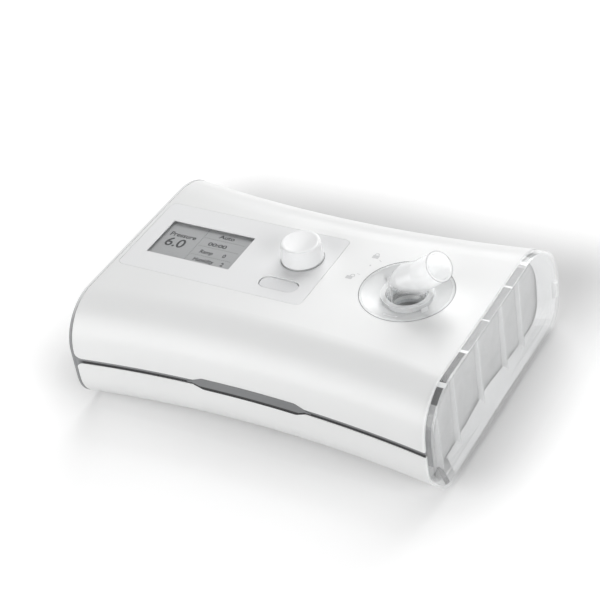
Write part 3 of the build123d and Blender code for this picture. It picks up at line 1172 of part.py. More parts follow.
with BuildPart() as control_panel:
    with BuildSketch(Plane.XY.offset(PANEL_UNDERSIDE)):
        with Locations((PANEL_X, PANEL_Y)):
            RectangleRounded(PANEL_LENGTH, PANEL_DEPTH, PANEL_CORNER - PANEL_GAP)
        with Locations((SCREEN_X, SCREEN_Y)):
            RectangleRounded(SCREEN_LENGTH, SCREEN_DEPTH, SCREEN_CORNER, mode=Mode.SUBTRACT)
        with Locations((KNOB_X, KNOB_Y)):
            Circle(ENCODER_BUSH_RADIUS + BUSH_CLEARANCE, mode=Mode.SUBTRACT)
        with Locations((BUTTON_X, BUTTON_Y)):
            SlotOverall(BUTTON_LENGTH + 2 * BUTTON_GAP, BUTTON_DEPTH + 2 * BUTTON_GAP, mode=Mode.SUBTRACT)
    extrude(amount=PANEL_SHEET)
control_panel.part.label = "control_panel"
export_step(control_panel.part, "parts/control_panel.step")

with BuildPart() as lcd_lens:
    with BuildSketch(Plane.XY.offset(COVER_INSIDE + SEAT_GAP)):
        with Locations((SCREEN_X, SCREEN_Y)):
            Rectangle(LENS_LENGTH - 2 * FIT_GAP, LENS_DEPTH - 2 * FIT_GAP)
    extrude(amount=PANEL_UNDERSIDE - COVER_INSIDE - SEAT_GAP)
lcd_lens.part.label = "lcd_lens"
export_step(lcd_lens.part, "parts/lcd_lens.step")

with BuildPart() as lcd_glass:
    with BuildSketch(Plane.XY.offset(GLASS_LOW)):
        with Locations((SCREEN_X, SCREEN_Y)):
            Rectangle(SCREEN_LENGTH + 2 * DISPLAY_MARGIN, SCREEN_DEPTH + 2 * DISPLAY_MARGIN)
    extrude(amount=DISPLAY_GLASS)
lcd_glass.part.label = "lcd_glass"
export_step(lcd_glass.part, "parts/lcd_glass.step")

with BuildPart() as lcd_frame:
    with BuildSketch(Plane.XY.offset(UI_BOARD_TOP)):
        with Locations((SCREEN_X, SCREEN_Y)):
            Rectangle(SCREEN_LENGTH + 2 * BACKLIGHT_MARGIN, SCREEN_DEPTH + 2 * BACKLIGHT_MARGIN)
    extrude(amount=GLASS_LOW - UI_BOARD_TOP)
lcd_frame.part.label = "lcd_frame"
export_step(lcd_frame.part, "parts/lcd_frame.step")

MAIN_BOARD_LOW = CASE_FLOOR + MAIN_BOARD_LIFT
MAIN_BOARD_TOP = MAIN_BOARD_LOW + BOARD_THICKNESS

with BuildPart() as ui_board:
    with BuildSketch(Plane.XY.offset(UI_BOARD_LOW)):
        with Locations((PANEL_X, PANEL_Y)):
            Rectangle(UI_BOARD_LENGTH, UI_BOARD_DEPTH)
        with Locations(*ui_posts):
            Circle(UI_SCREW_RADIUS + FIT_GAP, mode=Mode.SUBTRACT)
    extrude(amount=BOARD_THICKNESS)
ui_board.part.label = "ui_board"
export_step(ui_board.part, "parts/ui_board.step")

with BuildPart() as board_screws:
    # under the user-interface board, up into the cover's posts
    with BuildSketch(Plane.XY.offset(UI_BOARD_LOW)):
        with Locations(*ui_posts):
            Circle(UI_SCREW_RADIUS)
    extrude(amount=BOARD_THICKNESS + BOARD_SCREW_BITE)
    with BuildSketch(Plane.XY.offset(UI_BOARD_LOW)):
        with Locations(*ui_posts):
            Circle(2 * UI_SCREW_RADIUS)
    extrude(amount=-UI_SCREW_RADIUS)
    # on top of the main board, down into the case's posts
    with BuildSketch(Plane.XY.offset(MAIN_BOARD_TOP)):
        with Locations(*main_posts):
            Circle(UI_SCREW_RADIUS)
    extrude(amount=-BOARD_THICKNESS - BOARD_SCREW_BITE)
    with BuildSketch(Plane.XY.offset(MAIN_BOARD_TOP)):
        with Locations(*main_posts):
            Circle(2 * UI_SCREW_RADIUS)
    extrude(amount=UI_SCREW_RADIUS)
board_screws.part.label = "board_screws"
export_step(board_screws.part, "parts/board_screws.step")

# ---------------------------------------------------------------- knob on its push encoder
KNOB_LOW = BODY_TOP + KNOB_LIFT
KNOB_TOP = KNOB_LOW + KNOB_HEIGHT
BUSH_TOP = UI_BOARD_TOP + ENCODER_HEIGHT + ENCODER_BUSH_LENGTH
SHAFT_TOP = KNOB_TOP - KNOB_WALL - KNOB_DISH
CUP_FLOOR = UI_BOARD_TOP + SEAT_GAP          # floor of the cup that the plunger moves in
PLUNGER_LOW = CUP_FLOOR + KNOB_TRAVEL + SEAT_GAP
SHAFT_LOW = PLUNGER_LOW + PLUNGER_HEIGHT + SEAT_GAP
CUP_TOP = SHAFT_LOW + CUP_SPARE
KNOB_AXIS = Axis((KNOB_X, KNOB_Y, 0), (0, 0, 1))

with BuildPart() as knob:
    with BuildSketch(upright_plane(KNOB_X, KNOB_Y)):
        with BuildLine():
            dish_rim = KNOB_TOP_RADIUS - KNOB_WALL
            Polyline((0, KNOB_TOP - KNOB_DISH), (0, KNOB_LOW), (KNOB_RADIUS, KNOB_LOW),
                     (KNOB_RADIUS, KNOB_LOW + KNOB_LIP), (KNOB_TOP_RADIUS, KNOB_TOP), (dish_rim, KNOB_TOP))
            TangentArc((0, KNOB_TOP - KNOB_DISH), (dish_rim, KNOB_TOP), tangent=(1, 0))
        make_face()
    revolve(axis=KNOB_AXIS)
    fillet(knob.edges().group_by(Axis.Z)[-1].sort_by(SortBy.RADIUS)[-1], KNOB_ROUND)
    with BuildSketch(Plane.XY.offset(KNOB_LOW)):
        with Locations((KNOB_X, KNOB_Y)):
            Circle(KNOB_TOP_RADIUS - KNOB_WALL)
    extrude(amount=BUSH_TOP + KNOB_TRAVEL + 2 * SEAT_GAP - KNOB_LOW, mode=Mode.SUBTRACT)
    with BuildSketch(Plane.XY.offset(KNOB_LOW)):
        with Locations((KNOB_X, KNOB_Y)):
            Circle(KNOB_TOP_RADIUS - KNOB_WALL)
            Circle(SHAFT_RADIUS + KNOB_WALL, mode=Mode.SUBTRACT)
    extrude(amount=SHAFT_TOP - KNOB_LOW, mode=Mode.SUBTRACT)
    with BuildSketch(Plane.XY.offset(KNOB_LOW)):
        with Locations((KNOB_X, KNOB_Y)):
            Circle(SHAFT_RADIUS)
    extrude(amount=SHAFT_TOP - KNOB_LOW, mode=Mode.SUBTRACT)
knob.part.label = "knob"
export_step(knob.part, "parts/knob.step")

with BuildPart() as knob_shaft:
    with BuildSketch(Plane.XY.offset(SHAFT_LOW)):
        with Locations((KNOB_X, KNOB_Y)):
            Circle(SHAFT_RADIUS)
    extrude(amount=SHAFT_TOP - SHAFT_LOW)
knob_shaft.part.label = "knob_shaft"
export_step(knob_shaft.part, "parts/knob_shaft.step")

with BuildPart() as encoder_body:
    with BuildSketch(Plane.XY.offset(UI_BOARD_TOP)):
        with Locations((KNOB_X, KNOB_Y)):
            Rectangle(ENCODER_SIDE, ENCODER_SIDE)
    extrude(amount=ENCODER_HEIGHT)
    with BuildSketch(Plane.XY.offset(UI_BOARD_TOP)):
        with Locations((KNOB_X, KNOB_Y)):
            Circle(ENCODER_BUSH_RADIUS)
    extrude(amount=ENCODER_HEIGHT + ENCODER_BUSH_LENGTH)
    with BuildSketch(Plane.XY.offset(CUP_FLOOR)):
        with Locations((KNOB_X, KNOB_Y)):
            Circle(SHAFT_RADIUS + 2 * SEAT_GAP)
    extrude(amount=CUP_TOP - CUP_FLOOR, mode=Mode.SUBTRACT)
    with BuildSketch(Plane.XY.offset(CUP_FLOOR)):
        with Locations((KNOB_X, KNOB_Y)):
            Circle(SHAFT_RADIUS + FIT_GAP)
    extrude(amount=BODY_HEIGHT, mode=Mode.SUBTRACT)
encoder_body.part.label = "encoder_body"
export_step(encoder_body.part, "parts/encoder_body.step")

with BuildPart() as encoder_plunger:
    with BuildSketch(Plane.XY.offset(PLUNGER_LOW)):
        with Locations((KNOB_X, KNOB_Y)):
            Circle(SHAFT_RADIUS + SEAT_GAP)
    extrude(amount=PLUNGER_HEIGHT)
encoder_plunger.part.label = "encoder_plunger"
export_step(encoder_plunger.part, "parts/encoder_plunger.step")

# ---------------------------------------------------------------- start and stop button
BUTTON_FACE = BODY_TOP - BUTTON_SINK
FLANGE_TOP = COVER_INSIDE - SEAT_GAP
FLANGE_LOW = FLANGE_TOP - BUTTON_FLANGE
PLUNGER_TOP = UI_BOARD_TOP + SWITCH_HEIGHT + BUTTON_TRAVEL + SEAT_GAP
SWITCH_CUP = UI_BOARD_TOP + 2 * SEAT_GAP
SWITCH_PLUNGER_LOW = SWITCH_CUP + BUTTON_TRAVEL + SEAT_GAP

with BuildPart() as start_button:
    with BuildSketch(Plane.XY.offset(FLANGE_LOW)):
        with Locations((BUTTON_X, BUTTON_Y)):
            SlotOverall(BUTTON_LENGTH, BUTTON_DEPTH)
    extrude(amount=BUTTON_FACE - FLANGE_LOW)
    fillet(start_button.edges().group_by(Axis.Z)[-1], BUTTON_ROUND)
    with BuildSketch(Plane.XY.offset(FLANGE_LOW)):
        with Locations((BUTTON_X, BUTTON_Y)):
            SlotOverall(BUTTON_LENGTH + 2 * BUTTON_FLANGE, BUTTON_DEPTH + 2 * BUTTON_FLANGE)
    extrude(amount=BUTTON_FLANGE)
    with BuildSketch(Plane.XY.offset(PLUNGER_TOP)):
        with Locations((BUTTON_X, BUTTON_Y)):
            Circle(BUTTON_STEM_RADIUS)
    extrude(amount=FLANGE_LOW - PLUNGER_TOP)
start_button.part.label = "start_button"
export_step(start_button.part, "parts/start_button.step")

with BuildPart() as button_switch:
    with BuildSketch(Plane.XY.offset(UI_BOARD_TOP)):
        with Locations((BUTTON_X, BUTTON_Y)):
            Rectangle(SWITCH_SIDE, SWITCH_SIDE)
    extrude(amount=SWITCH_HEIGHT)
    with BuildSketch(Plane.XY.offset(SWITCH_CUP)):
        with Locations((BUTTON_X, BUTTON_Y)):
            Circle(SWITCH_PLUNGER_RADIUS + SEAT_GAP)
    extrude(amount=SWITCH_HEIGHT, mode=Mode.SUBTRACT)
button_switch.part.label = "button_switch"
export_step(button_switch.part, "parts/button_switch.step")

with BuildPart() as switch_plunger:
    with BuildSketch(Plane.XY.offset(SWITCH_PLUNGER_LOW)):
        with Locations((BUTTON_X, BUTTON_Y)):
            Circle(SWITCH_PLUNGER_RADIUS)
    extrude(amount=PLUNGER_TOP - SWITCH_PLUNGER_LOW)
switch_plunger.part.label = "switch_plunger"
export_step(switch_plunger.part, "parts/switch_plunger.step")

# ---------------------------------------------------------------- electronics


def board_place(x, y):
    """Place on the main board, from its middle."""
    return Locations((MAIN_BOARD_X + x, MAIN_BOARD_Y + y))


with BuildPart() as main_board:
    with BuildSketch(Plane.XY.offset(MAIN_BOARD_LOW)):
        with board_place(0, 0):
            Rectangle(MAIN_BOARD_LENGTH, MAIN_BOARD_DEPTH)
        with Locations(*main_posts):
            Circle(UI_SCREW_RADIUS + FIT_GAP, mode=Mode.SUBTRACT)
    extrude(amount=BOARD_THICKNESS)
main_board.part.label = "main_board"
export_step(main_board.part, "parts/main_board.step")

with BuildPart() as board_capacitors:
    with BuildSketch(Plane.XY.offset(MAIN_BOARD_TOP)):
        with board_place(MAIN_BOARD_LENGTH / 2 - CAPACITOR_INSET, 0):
            with GridLocations(3 * CAPACITOR_RADIUS, 3 * CAPACITOR_RADIUS, 2, 2):
                Circle(CAPACITOR_RADIUS)
    extrude(amount=CAPACITOR_HEIGHT)
    fillet(board_capacitors.edges().group_by(Axis.Z)[-1], CAPACITOR_ROUND)
board_capacitors.part.label = "board_capacitors"
export_step(board_capacitors.part, "parts/board_capacitors.step")

with BuildPart() as board_connectors:
    connector_length, connector_width, connector_height = CONNECTOR_SIZE
    with BuildSketch(Plane.XY.offset(MAIN_BOARD_TOP)):
        with board_place(CONNECTOR_X, MAIN_BOARD_DEPTH / 2 - CONNECTOR_INSET):
            with GridLocations(CONNECTOR_PITCH, 0, 3, 1):
                Rectangle(connector_length, connector_width)
    extrude(amount=connector_height)
    with BuildSketch(Plane.XY.offset(MAIN_BOARD_TOP + connector_height)):
        with board_place(CONNECTOR_X, MAIN_BOARD_DEPTH / 2 - CONNECTOR_INSET):
            with GridLocations(CONNECTOR_PITCH, 0, 3, 1):
                Rectangle(connector_length - 2 * CONNECTOR_WALL, connector_width - 2 * CONNECTOR_WALL)
    extrude(amount=-CONNECTOR_DEPTH, mode=Mode.SUBTRACT)
board_connectors.part.label = "board_connectors"
export_step(board_connectors.part, "parts/board_connectors.step")

with BuildPart() as heat_sink:
    with BuildSketch(Plane.XY.offset(MAIN_BOARD_TOP)):
        with board_place(SINK_INSET - MAIN_BOARD_LENGTH / 2, SINK_Y):
            Rectangle(SINK_LENGTH, SINK_DEPTH)
    extrude(amount=SINK_HEIGHT / 4)
    with BuildSketch(Plane.XY.offset(MAIN_BOARD_TOP)):
        with board_place(SINK_INSET - MAIN_BOARD_LENGTH / 2, SINK_Y):
            with GridLocations(SINK_LENGTH / SINK_FINS, 0, SINK_FINS, 1):
                Rectangle(SINK_FIN_THICKNESS, SINK_DEPTH)
    extrude(amount=SINK_HEIGHT)
heat_sink.part.label = "heat_sink"
export_step(heat_sink.part, "parts/heat_sink.step")

with BuildPart() as pressure_sensor:
    sensor_length, sensor_width, sensor_height = SENSOR_SIZE
    with BuildSketch(Plane.XY.offset(MAIN_BOARD_TOP)):
        with board_place(SENSOR_X, SENSOR_Y):
            Rectangle(sensor_length, sensor_width)
    extrude(amount=sensor_height)
    with BuildSketch(Plane.XY.offset(MAIN_BOARD_TOP + sensor_height)):
        with board_place(SENSOR_X, SENSOR_Y):
            with GridLocations(SENSOR_PORT_PITCH, 0, 2, 1):
                Circle(SENSOR_PORT_RADIUS)
                Circle(SENSOR_BORE, mode=Mode.SUBTRACT)
    extrude(amount=SENSOR_PORT_LENGTH)
pressure_sensor.part.label = "pressure_sensor"
export_step(pressure_sensor.part, "parts/pressure_sensor.step")

# the socket's flange lies against the inside of the case's rear wall
POWER_WALL = half_depth(POWER_X + POWER_SIDE / 2)
with BuildPart() as power_socket:
    with BuildSketch(Plane.XZ.offset(POWER_RECESS - POWER_WALL)):
        with Locations((POWER_X, POWER_Z)):
            Rectangle(POWER_SIDE - 2 * FIT_GAP, POWER_SIDE - 2 * FIT_GAP)
    extrude(amount=POWER_DEPTH)
    with BuildSketch(Plane.XZ.offset(SHELL_WALL + SEAT_GAP - POWER_WALL)):
        with Locations((POWER_X, POWER_Z)):
            Rectangle(POWER_SIDE + 2 * POWER_FLANGE, POWER_SIDE + 2 * POWER_FLANGE)
    extrude(amount=POWER_FLANGE_THICKNESS)
    with BuildSketch(Plane.XZ.offset(POWER_RECESS - POWER_WALL)):
        with Locations((POWER_X, POWER_Z)):
            Circle(POWER_BORE)
            Circle(POWER_PIN, mode=Mode.SUBTRACT)
    extrude(amount=POWER_BORE_DEPTH, mode=Mode.SUBTRACT)
power_socket.part.label = "power_socket"
export_step(power_socket.part, "parts/power_socket.step")
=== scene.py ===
"""Looks of a bench-top breathing machine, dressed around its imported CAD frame.

Metres, +Z up, the frame's own axes: +X towards the water tank, -Y the front.
"""
import json
from math import cos, pi, radians, sin

import bpy
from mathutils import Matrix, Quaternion, Vector
from mathutils.geometry import convex_hull_2d, intersect_line_line_2d


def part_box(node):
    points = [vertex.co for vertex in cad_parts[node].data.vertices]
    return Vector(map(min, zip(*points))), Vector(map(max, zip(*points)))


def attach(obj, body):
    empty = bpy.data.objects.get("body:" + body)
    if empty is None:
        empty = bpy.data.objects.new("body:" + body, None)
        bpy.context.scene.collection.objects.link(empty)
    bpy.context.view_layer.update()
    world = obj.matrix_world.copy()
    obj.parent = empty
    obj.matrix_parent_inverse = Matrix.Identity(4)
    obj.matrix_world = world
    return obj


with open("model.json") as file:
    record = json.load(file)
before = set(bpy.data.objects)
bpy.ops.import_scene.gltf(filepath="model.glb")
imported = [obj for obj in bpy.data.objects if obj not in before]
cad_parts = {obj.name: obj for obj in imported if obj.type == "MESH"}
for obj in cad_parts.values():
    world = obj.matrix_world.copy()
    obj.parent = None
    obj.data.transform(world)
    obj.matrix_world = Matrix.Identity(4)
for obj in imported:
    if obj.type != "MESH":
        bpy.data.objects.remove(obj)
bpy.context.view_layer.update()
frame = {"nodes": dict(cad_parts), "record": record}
nodes = frame["nodes"]
MM = 0.001

# ---------------------------------------------------------------- light, in metres
LAMP_DISTANCE = 2.2
LAMPS = {                  # direction from the machine, side of the lamp in metres, level
    "rear": ((-0.10, 0.74, 0.67), 1.8, 0.76),
    "front": ((-0.30, -0.85, 0.45), 1.8, 0.47),
    "front_left": ((-0.75, -0.65, 0.15), 1.8, 0.41),
    "right": ((1.0, -0.30, 0.30), 1.6, 0.76),
    "back_low": ((0.10, 0.96, 0.22), 1.8, 0.30),
}
SKY_LEVEL = 0.01
FLOOR_COLOUR = (0.74, 0.74, 0.74, 1)
GLOW = (0.0, 0.45)         # the floor's own light in view: in a box round the machine, held low to paint a darker shadow there, and away from it
GLOW_REACH = 0.095         # metres from the painted shadow's edge over which it rises
WHITE_FROM = (0.25, 1.2)   # metres over which the far floor turns plain white
# middle and half size of the box round the machine where the floor's glow is held back, a painted shadow
PAINTED_SHADOW_MIDDLE = (-0.008, 0.048, 0.0)
PAINTED_SHADOW_HALF = (0.140, 0.102, 1.0)
FLOOR_HALF = 3.0

# ---------------------------------------------------------------- materials
MIX_COLOURS, MIX_RESULT = (6, 7), 2          # the Mix node's colour sockets; their names aren't unique
NEAR_BLACK = (0.012, 0.012, 0.013)
MILK = (0.965, 0.968, 0.970, 1)              # what clear plastic scatters
CLEAR = (0.988, 0.990, 0.991, 1)             # what each of its faces lets through
CLEAR_IOR = 1.42
MILK_THROUGH = 0.45                          # share of the scattered light that goes on through
EDGE_RADIUS = 0.0006
FOOT_HAZE = 0.1                              # share of the haze that a clear foot keeps


class Look:
    """One material's node tree, built a node at a time."""

    def __init__(self, name):
        self.material = bpy.data.materials.new(name)
        self.material.use_nodes = True
        self.tree = self.material.node_tree
        self.tree.nodes.clear()
        self.output = self.node("ShaderNodeOutputMaterial")

    def node(self, kind, inputs=None, **settings):
        made = self.tree.nodes.new(kind)
        for name, value in settings.items():
            setattr(made, name, value)
        for name, value in (inputs or {}).items():
            if isinstance(value, bpy.types.NodeSocket):
                self.tree.links.new(value, made.inputs[name])
            else:
                made.inputs[name].default_value = value
        return made

    def place(self):
        """Coordinates in the object's own metres, which ride with the piece."""
        return self.node("ShaderNodeTexCoord").outputs["Object"]

    def spot(self):
        """The same coordinates one by one."""
        return self.node("ShaderNodeSeparateXYZ", {0: self.place()}).outputs

    def math(self, operation, first, second):
        return self.node("ShaderNodeMath", {0: first, 1: second}, operation=operation).outputs[0]

    def vector_math(self, operation, first, second=(0, 0, 0)):
        return self.node("ShaderNodeVectorMath", {0: first, 1: second}, operation=operation).outputs

    def noise(self, scale, detail=3.0, roughness=0.5, vector=None):
        inputs = {"Scale": scale, "Detail": detail, "Roughness": roughness, "Vector": vector or self.place()}
        return self.node("ShaderNodeTexNoise", inputs).outputs["Fac"]

    def range(self, value, low, high, start=0.3, end=0.7):
        """Low to high while the value goes from start to end."""
        inputs = {"Value": value, "From Min": start, "From Max": end, "To Min": low, "To Max": high}
        return self.node("ShaderNodeMapRange", inputs).outputs["Result"]

    def blend(self, share, first, second):
        """Mix of two colours, each a socket or three numbers."""
        colours = (value if isinstance(value, bpy.types.NodeSocket) else (*value, 1)
                   for value in (first, second))
        inputs = {"Factor": share, **dict(zip(MIX_COLOURS, colours))}
        return self.node("ShaderNodeMix", inputs, data_type="RGBA").outputs[MIX_RESULT]

    def bump(self, height, strength, distance=0.0001):
        inputs = {"Height": height, "Strength": strength, "Distance": distance}
        return self.node("ShaderNodeBump", inputs).outputs["Normal"]

    def shade(self, shader):
        self.tree.links.new(shader.outputs[0], self.output.inputs["Surface"])

    def principled(self, inputs):
        shader = self.node("ShaderNodeBsdfPrincipled", inputs)
        self.shade(shader)
        return shader


def moulded(name, colour, shade, rough=(0.25, 0.33), grain=1200.0, grain_depth=0.004):
    """Moulded plastic: faint colour drift, uneven gloss and a fine tool texture."""
    look = Look(name)
    drift = look.range(look.noise(9.0, 1.0), 0.0, 1.0, 0.2, 0.8)
    look.principled({"Base Color": look.blend(drift, colour, shade),
                     "Roughness": look.range(look.noise(35.0, 2.0), *rough),
                     "Normal": look.bump(look.noise(grain, 2.0), grain_depth)})
    return look.material


def rubber(name, colour):
    """Dull rubber with a fine paler speckle."""
    look = Look(name)
    speckle = look.range(look.noise(700.0, 5.0), 0.0, 1.0)
    paler = tuple(min(1.0, 1.5 * part + 0.01) for part in colour)
    look.principled({"Base Color": look.blend(speckle, colour, paler),
                     "Roughness": look.range(speckle, 0.6, 0.78, 0, 1),
                     "Normal": look.bump(look.noise(1600.0, 3.0), 0.12)})
    return look.material


def metal(name, colour, rough=(0.22, 0.38), along=(1, 1, 1)):
    """Metal with fine scratches, drawn out along the axis whose scale is low."""
    look = Look(name)
    stretched = look.node("ShaderNodeMapping", {"Vector": look.place(), "Scale": along})
    lines = look.noise(900.0, 4.0, 0.6, stretched.outputs[0])
    darker = tuple(0.86 * part for part in colour)
    shader = look.principled({"Base Color": look.blend(look.range(lines, 0, 1), colour, darker),
                              "Roughness": look.range(lines, *rough), "Normal": look.bump(lines, 0.06)})
    shader.inputs["Metallic"].default_value = 1.0
    return look.material


def clear_plastic(name, haze=(0.04, 0.07), rim=0.55, rough=(0.05, 0.09), gloss=1.0, edges=0.8, foot=None):
    """Clear moulded plastic: it shows what lies behind, and its milky share rises edge on and along its
    edges, painted highlights there.

    foot gives two heights in metres, between which the haze comes in from below.
    """
    look = Look(name)
    cloud = look.range(look.noise(45.0, 3.0), *haze)
    if foot:
        cloud = look.math("MULTIPLY", cloud, look.range(look.spot()["Z"], FOOT_HAZE, 1.0, *foot))
    # edge on, the milky share rises towards rim: a painted highlight along the outline
    slant = look.node("ShaderNodeLayerWeight", {"Blend": 0.30}).outputs["Facing"]
    geometry = look.node("ShaderNodeNewGeometry").outputs
    # along edges, where the bevel bends the normal, it rises towards edges: a painted highlight along them
    rounded = look.node("ShaderNodeBevel", {"Radius": EDGE_RADIUS}, samples=4).outputs[0]
    flat = look.vector_math("DOT_PRODUCT", rounded, geometry["Normal"])["Value"]
    painted_edge_highlight = look.range(flat, edges, 0.0, 0.72, 0.99)
    share = look.math("MAXIMUM", look.range(slant, cloud, rim, 0.35, 1.0), painted_edge_highlight)
    wave = look.bump(look.noise(110.0, 2.0), 0.03, 0.0005)
    skin = look.node("ShaderNodeBsdfPrincipled", {"Base Color": MILK, "Normal": wave,
                                                 "Roughness": look.range(look.noise(60.0, 3.0), *rough)})
    depth = look.node("ShaderNodeBsdfTranslucent", {"Color": MILK})
    milk = look.node("ShaderNodeMixShader", {0: MILK_THROUGH, 1: skin.outputs[0], 2: depth.outputs[0]})
    through = look.node("ShaderNodeBsdfTransparent", {"Color": CLEAR})
    plastic = look.node("ShaderNodeMixShader", {0: share, 1: through.outputs[0], 2: milk.outputs[0]})
    mirror = look.node("ShaderNodeBsdfGlossy", {"Color": (gloss, gloss, gloss, 1), "Roughness": rough[0],
                                                "Normal": wave})
    fresnel = look.node("ShaderNodeFresnel", {"IOR": CLEAR_IOR, "Normal": wave}).outputs[0]
    glint = look.math("MULTIPLY", fresnel, look.math("SUBTRACT", 1.0, geometry["Backfacing"]))
    look.shade(look.node("ShaderNodeMixShader", {0: glint, 1: plastic.outputs[0], 2: mirror.outputs[0]}))
    return look.material


STRIPE_SHADE = (0.0446, 0.0454)              # heights over which the stripe's lower half turns near black, a painted shadow of the gap under the trim
END_RIM = (-0.141, -0.136)                   # x over which the left end's rim meets the stripe
RIM_WHITENS = (0.076, 0.088)                 # heights over which that rim turns white
BADGE_LINE = (0.0009, 0.0014)                # the same painted shadow as the stripe's, above the badge's lower edge


def mottled(look, colour, shade):
    """Colour of a grey plate, which drifts a little."""
    return look.blend(look.range(look.noise(9.0, 1.0), 0.0, 1.0), colour, shade)


def plate(look, colour, rough, depth):
    """Surface of a finely grained grey plate."""
    fine = look.noise(1500.0, 2.0)
    look.principled({"Base Color": colour, "Roughness": look.range(fine, *rough),
                     "Normal": look.bump(fine, depth)})
    return look.material


def trim():
    """Grey trim: near black low on the stripe, a painted shadow of the gap under it; paler on the left end's
    rim, and white over the top.
    """
    look = Look("trim_grey")
    spot = look.spot()
    grey = mottled(look, (0.24, 0.245, 0.25), (0.20, 0.205, 0.21))
    # painted shadow: the stripe's lower half turns near black, where the gap under the trim lies in shade
    stripe = look.blend(look.range(spot["Z"], 1.0, 0.0, *STRIPE_SHADE), grey, NEAR_BLACK)
    end = look.blend(look.range(spot["X"], 1.0, 0.0, *END_RIM), stripe, (0.27, 0.275, 0.28))
    top = look.blend(look.range(spot["Z"], 0.0, 1.0, *RIM_WHITENS), end, (0.80, 0.805, 0.81))
    return plate(look, top, (0.35, 0.45), 0.08)


def badge():
    """Grey badge plate with a near-black line along its lower edge, a painted shadow of the gap under it."""
    look = Look("badge_grey")
    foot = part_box("badge_plate")[0].z
    # painted shadow: near black along the badge's lower edge
    line = look.range(look.spot()["Z"], 1.0, 0.0, *(foot + part for part in BADGE_LINE))
    grey = mottled(look, (0.21, 0.215, 0.22), (0.18, 0.185, 0.19))
    return plate(look, look.blend(line, grey, NEAR_BLACK), (0.34, 0.42), 0.05)


def open_cells(name, colour, cells, depth):
    """Foam or felt: cells or fibres with dark hollows, a painted shade."""
    look = Look(name)
    cell = look.node("ShaderNodeTexVoronoi", {"Scale": cells, "Vector": look.place()}).outputs["Distance"]
    share = look.range(cell, 0.0, 1.0, 0.1, 0.6)
    # darker colour in the hollows: painted shade
    darker = tuple(0.45 * part for part in colour)
    look.principled({"Base Color": look.blend(share, colour, darker),
                     "Roughness": look.range(share, 0.85, 0.97, 0, 1),
                     "Normal": look.bump(cell, depth, 0.0005)})
    return look.material


def circuit_board():
    """Green solder mask with tracks that run square to the board's edges."""
    look = Look("circuit_board")
    bricks = {"Vector": look.place(), "Scale": 260.0, "Mortar Size": 0.09, "Brick Width": 1.7,
              "Row Height": 0.5}
    joints = look.node("ShaderNodeTexBrick", bricks, offset=0.37, squash=1.6).outputs["Fac"]
    broken = look.math("MULTIPLY", joints, look.range(look.noise(50.0), 0, 1, 0.42, 0.5))
    look.principled({"Base Color": look.blend(broken, (0.012, 0.13, 0.055), (0.03, 0.24, 0.10)),
                     "Roughness": look.range(broken, 0.28, 0.4, 0, 1),
                     "Normal": look.bump(broken, 0.2, 0.00005)})
    return look.material


def windings():
    """Copper wire laid in turns around the motor."""
    look = Look("copper")
    turns = {"Vector": look.place(), "Scale": 420.0, "Distortion": 1.2, "Detail": 1.0}
    wave = look.node("ShaderNodeTexWave", turns, bands_direction="DIAGONAL").outputs["Fac"]
    shader = look.principled({"Base Color": look.blend(wave, (0.36, 0.13, 0.05), (0.80, 0.40, 0.20)),
                              "Roughness": look.range(wave, 0.25, 0.45, 0, 1),
                              "Normal": look.bump(wave, 0.5, 0.0002)})
    shader.inputs["Metallic"].default_value = 1.0
    return look.material


def lcd_grey():
    """Reflective display: pale grey field with the faint grid of its dots."""
    look = Look("lcd_grey")
    dots = {"Vector": look.place(), "Scale": 1777.0, "Mortar Size": 0.12, "Brick Width": 1.0,
            "Row Height": 1.0}
    grid = look.node("ShaderNodeTexBrick", dots, offset=0.0).outputs["Fac"]
    drift = look.range(look.noise(18.0, 2.0), 0, 1)
    field = look.blend(drift, (0.45, 0.455, 0.46), (0.49, 0.495, 0.50))
    dotted = look.blend(look.range(grid, 0.0, 0.35, 0, 1), field, (0.38, 0.385, 0.39))
    shader = look.principled({"Base Color": dotted, "Roughness": look.range(drift, 0.34, 0.42, 0, 1)})
    shader.inputs["Specular IOR Level"].default_value = 0.35
    return look.material


def heater_film():
    """Amber film with the meander of its heating track."""
    look = Look("heater_film")
    waves = {"Vector": look.place(), "Scale": 55.0}
    wave = look.node("ShaderNodeTexWave", waves, wave_profile="SAW").outputs["Fac"]
    track = look.range(wave, 0, 1, 0.42, 0.5)
    look.principled({"Base Color": look.blend(track, (0.45, 0.17, 0.03), (0.20, 0.06, 0.015)),
                     "Roughness": look.range(track, 0.3, 0.45, 0, 1), "Normal": look.bump(track, 0.3)})
    return look.material


